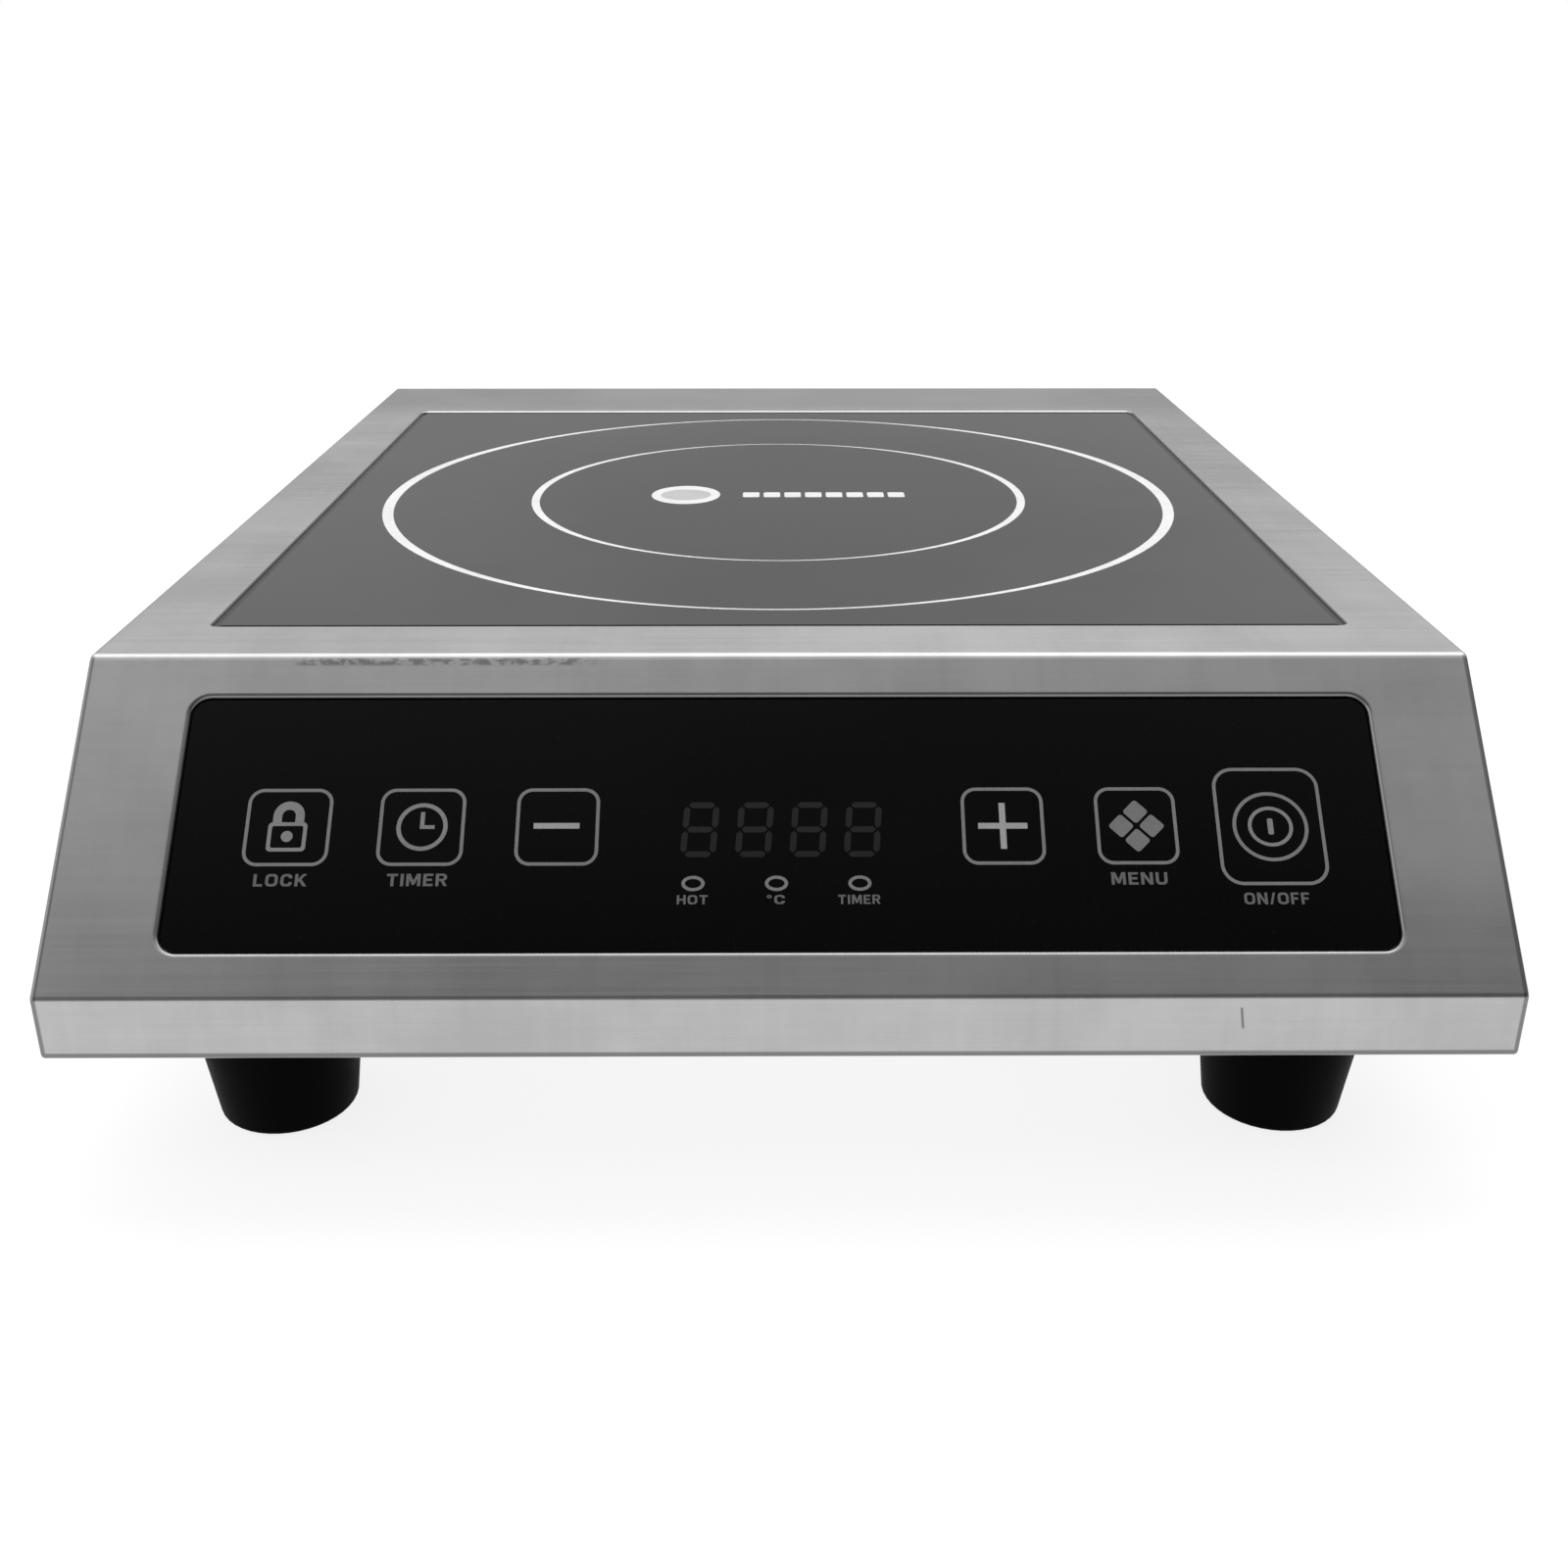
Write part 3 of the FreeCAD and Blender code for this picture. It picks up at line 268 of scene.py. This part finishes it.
def black_glass(name, base, rough, ior, haze, edge_film=0.0):
    """Polished black glass with a faint film of dust and wiped marks in its roughness; the film may be heavier toward the edges."""
    m, N = material(name)
    p = N.obj()
    film = N.noise(p, 22.0, 4.0, 0.62)
    wipe = N.noise(p, 1.0, 3.0, 0.6, (30.0, 160.0, 90.0))
    speck = N.step(N.noise(p, 2600.0, 1.0), 0.70, 0.80)
    t = N.math("ADD", N.math("MULTIPLY", film, 0.6), N.math("MULTIPLY", wipe, 0.4))
    col = N.mix(N.step(t, 0.35, 0.7), base, [c + haze for c in base])
    col = N.mix(N.math("MULTIPLY", speck, 0.25), col, (0.05, 0.05, 0.05))
    if edge_film:
        q = N.vec("MULTIPLY", N.vec("SUBTRACT", p, (HOB.x + 0.02, HOB.y - 0.01, HOB.z)), (7.2, 6.0, 0.0))
        far = N.step(N.math("ADD", N.vec("LENGTH", q), N.math("MULTIPLY", N.math("SUBTRACT", film, 0.5), 0.5)), 0.35, 1.2, 0.0, edge_film)
        col = N.vec("ADD", col, N.new("ShaderNodeCombineXYZ", {0: far, 1: far, 2: far}).outputs[0])
    r = N.step(t, 0.3, 0.7, rough, rough + 0.05)
    s = N.new("ShaderNodeBsdfPrincipled", {"Base Color": col, "Roughness": r, "IOR": ior})
    finish_mat(N, s)
    return m


def print_ink(name, color, rough=0.45):
    m, N = material(name)
    p = N.obj()
    t = N.noise(p, 1400.0, 2.0, 0.6)
    w = N.noise(p, 60.0, 3.0, 0.6)
    t = N.math("ADD", N.math("MULTIPLY", t, 0.5), N.math("MULTIPLY", w, 0.5))
    col = N.mix(N.step(t, 0.3, 0.7), [c * 0.9 for c in color], [min(1, c * 1.08) for c in color])
    b = N.new("ShaderNodeBump", {"Strength": 0.3, "Distance": 0.004 * MM, "Height": t})
    s = N.new("ShaderNodeBsdfPrincipled", {"Base Color": col, "Roughness": rough, "Normal": b.outputs[0]})
    finish_mat(N, s)
    return m


def board():
    m, N = material("board_green")
    p = N.obj()
    tr = N.new("ShaderNodeTexBrick", {"Vector": N.vec("MULTIPLY", p, (240.0, 240.0, 240.0)), "Scale": 1.0, "Mortar Size": 0.06,
                                      "Color1": (0.015, 0.10, 0.04, 1), "Color2": (0.02, 0.13, 0.05, 1), "Mortar": (0.03, 0.17, 0.07, 1)})
    f = N.noise(p, 900.0, 2.0)
    col = N.mix(N.math("MULTIPLY", f, 0.3), tr.outputs[0], (0.01, 0.07, 0.03))
    b = N.new("ShaderNodeBump", {"Strength": 0.3, "Distance": 0.03 * MM, "Height": tr.outputs[1]})
    s = N.new("ShaderNodeBsdfPrincipled", {"Base Color": col, "Roughness": 0.35, "Normal": b.outputs[0]})
    finish_mat(N, s)
    return m


def wound(name, color, centre, pitch):
    """Enamelled stranded wire laid in rings about a centre."""
    m, N = material(name)
    p = N.vec("SUBTRACT", N.obj(), tuple(centre))
    xyz = N.new("ShaderNodeSeparateXYZ", {0: p})
    r = N.math("SQRT", N.math("ADD", N.math("MULTIPLY", xyz.outputs[0], xyz.outputs[0]), N.math("MULTIPLY", xyz.outputs[1], xyz.outputs[1])))
    w = N.math("ABSOLUTE", N.math("SINE", N.math("MULTIPLY", r, math.pi / pitch)))
    f = N.noise(p, 1500.0, 2.0)
    # painted shade: the colour darkens to about a third in the grooves between the turns
    col = N.mix(N.math("MULTIPLY", w, N.step(f, 0.2, 0.7, 0.75, 1.0)), [c * 0.35 for c in color], color)
    b = N.new("ShaderNodeBump", {"Strength": 0.8, "Distance": 0.6 * MM, "Height": w})
    s = N.new("ShaderNodeBsdfPrincipled", {"Base Color": col, "Roughness": 0.35, "Metallic": 0.6, "Normal": b.outputs[0]})
    finish_mat(N, s)
    return m


M = {
    "stainless": steel(),
    "galvanised": zinc("galvanised_sheet"),
    "zinc_steel": zinc("zinc_plated", (0.55, 0.55, 0.54), 0.3),
    "hob_glass": black_glass("hob_ceramic", (0.0105, 0.0105, 0.0105), 0.05, 1.34, 0.004, 0.030),
    "panel_glass": black_glass("panel_ceramic", (0.0006, 0.0006, 0.0006), 0.03, 1.22, 0.0004),
    "silicone": plain("silicone_black", (0.012, 0.012, 0.012), 0.5, grain=700.0),
    "foam": plain("foam_black", (0.03, 0.03, 0.03), 0.9, bump=0.08),
    "circuit_board": board(),
    "nylon": plain("nylon_natural", (0.62, 0.60, 0.54), 0.5),
    "black_plastic": plain("plastic_black", (0.012, 0.012, 0.012), 0.45, bump=0.03, grain=1100.0),
    "led_plastic": plain("lamp_red", (0.35, 0.02, 0.015), 0.2, coat=0.5),
    "spring_steel": plain("spring_steel", (0.42, 0.42, 0.43), 0.28, metallic=1.0, stretch=(8, 8, 40)),
    "foot_rubber": plain("foot_rubber", (0.0009, 0.0009, 0.0009), 0.5, grain=1300.0, bump=0.03, tint=0.2, spec=0.02),
    "black_nylon": plain("nylon_black", (0.014, 0.014, 0.014), 0.42, bump=0.03, grain=1100.0),
    "bronze": plain("bronze", (0.55, 0.36, 0.16), 0.35, metallic=1.0),
    "stator_iron": plain("stator_iron", (0.12, 0.11, 0.10), 0.5, metallic=0.8, stretch=(1, 1, 30)),
    "aluminium": plain("aluminium_extruded", (0.62, 0.62, 0.63), 0.35, metallic=1.0, stretch=(30, 1, 30)),
    "capacitor_film": plain("capacitor_box", (0.55, 0.40, 0.04), 0.3, coat=0.2),
    "capacitor_can": plain("capacitor_sleeve", (0.02, 0.03, 0.07), 0.25, coat=0.4),
    "copper_wire": plain("choke_winding", (0.42, 0.17, 0.07), 0.3, metallic=0.8, stretch=(6, 6, 0.5), bump=0.2),
    "fuse_ceramic": plain("ceramic_white", (0.70, 0.68, 0.63), 0.25),
    "mica": plain("mica", (0.45, 0.41, 0.32), 0.35, grain=300.0, tint=0.25),
    "litz_wire": wound("litz_winding", (0.40, 0.15, 0.06), HOB, 3.1 * MM),
    "coil_plastic": plain("carrier_plastic", (0.05, 0.05, 0.05), 0.55, bump=0.05),
    "ferrite": plain("ferrite", (0.03, 0.03, 0.035), 0.5, bump=0.05),
    "silicone_clear": plain("silicone_white", (0.55, 0.53, 0.48), 0.5),
    "wire_red": plain("wire_red", (0.32, 0.015, 0.01), 0.4),
    "wire_brown": plain("wire_brown", (0.09, 0.035, 0.015), 0.4),
    "wire_black": plain("wire_black", (0.012, 0.012, 0.012), 0.4),
    "wire_grey": plain("wire_grey", (0.24, 0.24, 0.26), 0.5, stretch=(40, 1, 1)),
}
slots = {s["node"]: s["material_slot"] for s in frame["record"]["subparts"]}
for name, ob in nodes.items():
    ob.data.materials.clear()
    ob.data.materials.append(M[slots[name]])
    for poly in ob.data.polygons:
        poly.material_index = 0
    ob.data.shade_smooth()
    ob.data.set_sharp_from_angle(angle=math.radians(32))


# ---------------------------------------------------------------- flat printed artwork
def art(name, loops, place, mat, thick=0.02 * MM, slot="hob_glass", body="cooker"):
    """Closed thin solid from closed 2-D loops (outer and inner), put in place by a matrix. thick is its whole height, from z = 0 up."""
    cu = bpy.data.curves.new(name, "CURVE")
    cu.dimensions = "2D"
    cu.fill_mode = "BOTH"
    cu.extrude = thick / 2
    for loop in loops:
        sp = cu.splines.new("POLY")
        sp.points.add(len(loop) - 1)
        for q, (px, py) in zip(sp.points, loop):
            q.co = (px, py, 0, 1)
        sp.use_cyclic_u = True
    return bake(name, cu, place @ Matrix.Translation((0, 0, thick / 2)), mat, body)


def bake(name, cu, place, mat, body):
    tmp = bpy.data.objects.new(name + "_tmp", cu)
    scene.collection.objects.link(tmp)
    dg = bpy.context.evaluated_depsgraph_get()
    dg.update()
    me = bpy.data.meshes.new_from_object(tmp.evaluated_get(dg), depsgraph=dg)
    bpy.data.objects.remove(tmp)
    bpy.data.curves.remove(cu)
    bm = bmesh.new()
    bm.from_mesh(me)
    bmesh.ops.remove_doubles(bm, verts=bm.verts, dist=2e-7)
    bmesh.ops.recalc_face_normals(bm, faces=bm.faces)
    bm.to_mesh(me)
    bm.free()
    me.transform(place)
    me.name = name
    me.materials.clear()
    me.materials.append(mat)
    for poly in me.polygons:
        poly.use_smooth = False
        poly.material_index = 0
    ob = bpy.data.objects.new(name, me)
    scene.collection.objects.link(ob)
    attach(ob, body)
    return ob


GLYPHS = {
    "L": (0.60, [[(0, 0), (0, 1), (.2, 1), (.2, .19), (.6, .19), (.6, 0)]]),
    "T": (0.70, [[(0, 1), (.7, 1), (.7, .81), (.45, .81), (.45, 0), (.25, 0), (.25, .81), (0, .81)]]),
    "I": (0.20, [[(0, 0), (0, 1), (.2, 1), (.2, 0)]]),
    "M": (0.90, [[(0, 0), (0, 1), (.25, 1), (.45, .44), (.65, 1), (.9, 1), (.9, 0), (.71, 0), (.71, .6), (.52, .1), (.38, .1), (.19, .6), (.19, 0)]]),
    "E": (0.62, [[(0, 0), (0, 1), (.62, 1), (.62, .82), (.2, .82), (.2, .6), (.56, .6), (.56, .42), (.2, .42), (.2, .18), (.62, .18), (.62, 0)]]),
    "R": (0.74, [[(0, 0), (0, 1), (.48, 1), (.64, .93), (.71, .78), (.71, .64), (.64, .5), (.52, .44), (.74, 0), (.52, 0), (.33, .4), (.2, .4), (.2, 0)],
                 [(.2, .58), (.2, .83), (.44, .83), (.51, .77), (.51, .65), (.44, .58)]]),
    "N": (0.76, [[(0, 0), (0, 1), (.22, 1), (.56, .36), (.56, 1), (.76, 1), (.76, 0), (.54, 0), (.2, .64), (.2, 0)]]),
    "U": (0.74, [[(0, 1), (0, .3), (.06, .1), (.2, 0), (.54, 0), (.68, .1), (.74, .3), (.74, 1), (.54, 1), (.54, .3), (.48, .19), (.26, .19), (.2, .3), (.2, 1)]]),
    "H": (0.74, [[(0, 0), (0, 1), (.2, 1), (.2, .6), (.54, .6), (.54, 1), (.74, 1), (.74, 0), (.54, 0), (.54, .42), (.2, .42), (.2, 0)]]),
    "F": (0.60, [[(0, 0), (0, 1), (.6, 1), (.6, .82), (.2, .82), (.2, .58), (.53, .58), (.53, .4), (.2, .4), (.2, 0)]]),
    "C": (0.76, [[(.76, .66), (.74, .84), (.62, .97), (.46, 1), (.28, 1), (.1, .92), (0, .72), (0, .28), (.1, .08), (.28, 0), (.46, 0), (.62, .03), (.74, .16), (.76, .34),
                  (.56, .36), (.52, .24), (.42, .19), (.32, .19), (.23, .26), (.2, .38), (.2, .62), (.23, .74), (.32, .81), (.42, .81), (.52, .76), (.56, .64)]]),
    "K": (0.78, [[(0, 0), (0, 1), (.2, 1), (.2, .6), (.5, 1), (.75, 1), (.42, .58), (.78, 0), (.54, 0), (.28, .42), (.2, .32), (.2, 0)]]),
    "/": (0.42, [[(0, 0), (.25, 1), (.42, 1), (.17, 0)]]),
}


def lettering(name, words, x0, x1, y0, y1, place, mat):
    """Plain block capitals filling a box, millimetres."""
    at, loops = 0.0, []
    for ch in words:
        if ch == "O":
            wd, parts = 0.80, [rrect(0, .8, 0, 1, .3, 5), rrect(.2, .6, .19, .81, .14, 4)]
        elif ch == "o":
            wd, parts = 0.36, [circle(.18, .82, .18, n=20), circle(.18, .82, .08, n=16)]
        else:
            wd, parts = GLYPHS[ch]
        loops += [[(u + at, v) for u, v in q] for q in parts]
        at += wd + 0.17
    total = at - 0.17
    return art(name, [mm([(x0 + u * (x1 - x0) / total, y0 + v * (y1 - y0)) for u, v in q]) for q in loops], place, mat, slot="panel_glass")


def circle(cx, cy, rx, ry=None, n=96):
    ry = rx if ry is None else ry
    return [(cx + rx * math.cos(2 * math.pi * k / n), cy + ry * math.sin(2 * math.pi * k / n)) for k in range(n)]


def rrect(x0, x1, y0, y1, r, n=10):
    out = []
    for cx, cy, a in ((x1 - r, y1 - r, 0), (x0 + r, y1 - r, 90), (x0 + r, y0 + r, 180), (x1 - r, y0 + r, 270)):
        for k in range(n + 1):
            t = math.radians(a + 90.0 * k / n)
            out.append((cx + r * math.cos(t), cy + r * math.sin(t)))
    return out


def bar(x0, y0, x1, y1, w):
    dx, dy = x1 - x0, y1 - y0
    m = math.hypot(dx, dy)
    nx, ny = -dy / m * w / 2, dx / m * w / 2
    return [(x0 + nx, y0 + ny), (x0 - nx, y0 - ny), (x1 - nx, y1 - ny), (x1 + nx, y1 + ny)]


def mm(loop, dx=0.0, dy=0.0):
    return [((a + dx) * MM, (b + dy) * MM) for a, b in loop]


def frame_box(x0, x1, s0, s1, r, w):
    """Outline of a rounded box in panel millimetres; s runs down the slope."""
    return [mm(rrect(x0, x1, -s1, -s0, r)), mm(rrect(x0 + w, x1 - w, -s1 + w, -s0 - w, r - w))]


ring_ink = print_ink("ring_ink", (0.93, 0.93, 0.93))
hob_at = Matrix.Translation(HOB)


def zone_ring(name, r, side, end, n=240):
    """Printed ring whose line is wide at the left and right and fine at the front and back."""
    outer, inner = [], []
    for k in range(n):
        t = 2 * math.pi * k / n
        w = end + (side - end) * abs(math.cos(t)) ** 1.5
        outer.append(((r + w / 2) * math.cos(t), (r + w / 2) * math.sin(t)))
        inner.append(((r - w / 2) * math.cos(t), (r - w / 2) * math.sin(t)))
    return art(name, [mm(outer), mm(inner)], hob_at, ring_ink, thick=0.03 * MM)


zone_ring("zone_ring_outer", 125.2, 3.5, 0.8)
zone_ring("zone_ring_inner", 78.9, 2.6, 0.58)
# a plain disc with a grey middle, and a row of plain blocks
ring_grey = print_ink("ring_grey", (0.56, 0.56, 0.56))
art("centre_disc_rim", [mm(circle(-30.3, 0, 11.2, 12.4, 72)), mm(circle(-30.3, 0, 8.2, 7.4, 72))], hob_at, ring_ink, thick=0.03 * MM)
art("centre_disc_middle", [mm(circle(-30.3, 0, 8.2, 7.4, 72))], hob_at, ring_grey, thick=0.03 * MM)
for k in range(8):
    u = -11.6 + k * 6.79
    art(f"centre_block_{k + 1}", [mm(rrect(u, u + 5.4, -3.3, 3.3, 0.8, 5))], hob_at, ring_ink, thick=0.03 * MM)

# ---------------------------------------------------------------- control panel artwork
ink = print_ink("key_ink", (0.235, 0.235, 0.235))
ink_dim = print_ink("label_ink", (0.15, 0.15, 0.15))
ink_hi = print_ink("symbol_ink", (0.27, 0.27, 0.27))
ink_mark = print_ink("mark_ink", (0.42, 0.42, 0.42))
ink_fill = print_ink("fill_ink", (0.215, 0.215, 0.215))
PAN = on_panel() @ Matrix.Translation((0, 0.378 * MM, 0)) @ Matrix.Diagonal((0.9941, 0.9921, 1.0, 1.0))
P = dict(slot="panel_glass")
LW = 0.8
art("key_lock_frame", frame_box(-123.4, -103.7, 35.0, 54.2, 3.6, LW), PAN, ink, **P)
art("key_timer_frame", frame_box(-92.7, -72.9, 35.0, 54.2, 3.6, LW), PAN, ink, **P)
art("key_minus_frame", frame_box(-61.1, -41.9, 35.0, 54.2, 3.6, LW), PAN, ink, **P)
art("key_plus_frame", frame_box(41.8, 60.9, 35.0, 54.2, 3.6, LW), PAN, ink, **P)
art("key_menu_frame", frame_box(72.8, 91.6, 35.0, 54.2, 3.6, LW), PAN, ink, **P)
art("key_power_frame", frame_box(100.7, 125.5, 30.1, 59.3, 5.0, LW), PAN, ink, **P)

# padlock
cx = -113.6
body_o, body_i = rrect(cx - 4.5, cx + 4.5, -50.6, -43.4, 1.0), rrect(cx - 3.6, cx + 3.6, -49.7, -44.3, 0.5)
art("symbol_lock_body", [mm(body_o), mm(body_i)], PAN, ink_hi, **P)
art("symbol_lock_keyhole", [mm(circle(cx, -46.9, 1.35, 1.35, 32))], PAN, ink_hi, **P)


def shackle(r0, r1, y_base, y_mid):
    out = [(cx + r1, y_base)]
    out += [(cx + r1 * math.cos(math.radians(a)), y_mid + r1 * math.sin(math.radians(a))) for a in range(0, 181, 9)]
    out += [(cx - r1, y_base), (cx - r0, y_base)]
    out += [(cx + r0 * math.cos(math.radians(a)), y_mid + r0 * math.sin(math.radians(a))) for a in range(180, -1, -9)]
    out += [(cx + r0, y_base)]
    return out


art("symbol_lock_shackle", [mm(shackle(1.55, 3.6, -43.4, -41.8))], PAN, ink_hi, **P)
# clock
art("symbol_clock_face", [mm(circle(-82.7, -44.6, 5.9)), mm(circle(-82.7, -44.6, 4.9))], PAN, ink_hi, **P)
art("symbol_clock_hands", [mm([(-83.2, -40.9), (-83.2, -45.1), (-79.8, -45.1), (-79.8, -44.2), (-82.2, -44.2), (-82.2, -40.9)])], PAN, ink_hi, **P)
# minus and plus
art("symbol_minus", [mm(bar(-57.0, -44.4, -46.4, -44.4, 1.4))], PAN, ink_mark, **P)
h, t = 5.7, 0.72
plus = [(-h, -t), (-t, -t), (-t, -h), (t, -h), (t, -t), (h, -t), (h, t), (t, t), (t, h), (-t, h), (-t, t), (-h, t)]
art("symbol_plus", [mm(plus, 51.3, -44.6)], PAN, ink_mark, **P)
# menu: four rounded lozenges
for k, (dx, dy) in enumerate(((0, 3.55), (-3.55, 0), (3.55, 0), (0, -3.55))):
    q = rrect(-2.15, 2.15, -2.15, 2.15, 0.7, 6)
    c45 = math.sqrt(0.5)
    q = [(c45 * (a - b), c45 * (a + b)) for a, b in q]
    art(f"symbol_menu_{k + 1}", [mm(q, 82.2 + dx, -44.7 + dy)], PAN, ink_fill, **P)
# power
art("symbol_power_outer", [mm(circle(113.2, -44.9, 8.75, 8.6)), mm(circle(113.2, -44.9, 7.9, 7.75))], PAN, ink, **P)
art("symbol_power_inner", [mm(circle(113.2, -44.9, 5.2, 4.95)), mm(circle(113.2, -44.9, 4.35, 4.1))], PAN, ink_hi, **P)
art("symbol_power_bar", [mm(rrect(113.2 - 0.65, 113.2 + 0.65, -46.9, -42.9, 0.4, 4))], PAN, ink_hi, **P)
# captions
for name, words, x0, x1, s0, s1 in (
    ("caption_lock", "LOCK", -120.0, -107.8, 56.1, 59.1), ("caption_timer", "TIMER", -89.7, -75.9, 56.1, 59.1),
    ("caption_menu", "MENU", 75.4, 88.2, 56.1, 59.1), ("caption_power", "ON/OFF", 105.2, 120.0, 61.1, 63.9),
    ("caption_hot", "HOT", -23.6, -16.6, 61.4, 63.6), ("caption_degree", "oC", -3.2, 0.9, 61.4, 63.6), ("caption_timer_lamp", "TIMER", 13.0, 22.6, 61.4, 63.6),
):
    lettering(name, words, x0, x1, -s1, -s0, PAN, ink_dim)
# indicator windows
for k, cx0 in enumerate((-20.0, -1.0, 18.0)):
    art(f"indicator_{k + 1}", [mm(circle(cx0, -58.6, 2.65, 1.85, 40)), mm(circle(cx0, -58.6, 1.85, 1.1, 40))], PAN, ink, **P)

# unlit figures of the display, seen faintly through the glass
unlit = print_ink("display_unlit", (0.0040, 0.0040, 0.0040), 0.2)


def digit(x0, k):
    wd, hh, tk, lean_ = 8.2, 13.6, 1.45, 0.07
    base = -52.2

    def pt(u, v):
        return (x0 + u + lean_ * v, base + v)

    g = 0.35
    hx = lambda u0, u1, v: [pt(u0, v), pt(u0 + tk / 2, v + tk / 2), pt(u1 - tk / 2, v + tk / 2), pt(u1, v), pt(u1 - tk / 2, v - tk / 2), pt(u0 + tk / 2, v - tk / 2)]
    vx = lambda u, v0, v1: [pt(u, v0), pt(u + tk / 2, v0 + tk / 2), pt(u + tk / 2, v1 - tk / 2), pt(u, v1), pt(u - tk / 2, v1 - tk / 2), pt(u - tk / 2, v0 + tk / 2)]
    a, b = tk / 2, hh / 2
    segs = [
        hx(a + g, wd - a - g, hh - a), hx(a + g, wd - a - g, b), hx(a + g, wd - a - g, a),
        vx(a, a + g, b - g), vx(a, b + g, hh - a - g), vx(wd - a, a + g, b - g), vx(wd - a, b + g, hh - a - g)]
    art(f"display_figure_{k}", [mm(s_) for s_ in segs], PAN, unlit, thick=0.012 * MM, **P)


for k, x0 in enumerate((-23.2, -10.6, 1.9, 14.4)):
    digit(x0, k + 1)

# ---------------------------------------------------------------- stage and light
fl = bpy.data.meshes.new("floor")
fl.from_pydata([(-12, -12, 0), (12, -12, 0), (12, 12, 0), (-12, 12, 0)], [], [(0, 1, 2, 3)])
floor = bpy.data.objects.new("floor", fl)
scene.collection.objects.link(floor)
fm, N = material("floor_pale")
p = N.obj()
tone = N.noise(p, 3.0, 2.0)
col = N.mix(tone, (0.24, 0.24, 0.24), (0.26, 0.26, 0.26))
s = N.new("ShaderNodeBsdfPrincipled", {"Base Color": col, "Roughness": 0.9, "Specular IOR Level": 0.0,
                                       "Emission Color": (1, 1, 1, 1), "Emission Strength": 0.835})
finish_mat(N, s)
fl.materials.append(fm)

world = bpy.data.worlds.new("studio")
scene.world = world
world.use_nodes = True
N = Nodes(world.node_tree)
d = N.new("ShaderNodeTexCoord").outputs["Generated"]
d = N.vec("NORMALIZE", d)
dx, dy, dz = N.new("ShaderNodeSeparateXYZ", {0: d}).outputs
# a pale wall behind the object with a wide ceiling light above it, a dim room in front, brighter to the left, and a pale floor
wall = N.step(dz, 0.0, 0.355, 0.22, 0.885)
lamp = N.math("MULTIPLY", N.step(dz, 0.42, 0.62), N.step(dy, 0.16, 0.34))
back = N.math("ADD", wall, N.math("MULTIPLY", lamp, 2.2))
back = N.math("MULTIPLY", back, N.math("ADD", 1.0, N.math("MULTIPLY", dx, 0.07)))
front = N.step(dy, 0.10, -0.12)
room = N.step(dy, -0.12, -0.56, 0.96, 0.18)
room = N.math("MULTIPLY", room, N.math("SUBTRACT", 1.0, N.math("MULTIPLY", dx, 0.14)))
shape = N.math("MULTIPLY", N.math("SUBTRACT", N.noise(d, 1.0, 1.0, 0.4, (3.4, 5.5, 5.5)), 0.5), 1.1)
things = N.step(N.math("ADD", dx, shape), -0.07, 0.11, 1.10, 0.93)
room = N.math("MULTIPLY", room, things)
room = N.math("MAXIMUM", N.math("ADD", room, N.step(dx, -0.45, -0.9, 0.0, 0.3)), 0.03)
rad = N.math("ADD", N.math("MULTIPLY", back, N.math("SUBTRACT", 1.0, front)), N.math("MULTIPLY", front, room))
flank = N.math("MULTIPLY", N.step(dx, -0.62, -0.86), 0.85)
shade = N.step(dx, 0.62, 0.90, 1.0, 0.50)
rad = N.math("MULTIPLY", N.math("ADD", rad, flank), shade)
low = N.step(dz, 0.03, -0.02)
rad = N.math("ADD", N.math("MULTIPLY", rad, N.math("SUBTRACT", 1.0, low)), N.math("MULTIPLY", low, 0.92))
lit = N.new("ShaderNodeBackground", {"Strength": rad})
seen = N.new("ShaderNodeBackground", {"Color": (1, 1, 1, 1), "Strength": 1.0})
cam_ray = N.new("ShaderNodeLightPath").outputs["Is Camera Ray"]
mixed = N.new("ShaderNodeMixShader", {0: cam_ray, 1: lit.outputs[0], 2: seen.outputs[0]})
N.new("ShaderNodeOutputWorld", {"Surface": mixed.outputs[0]})
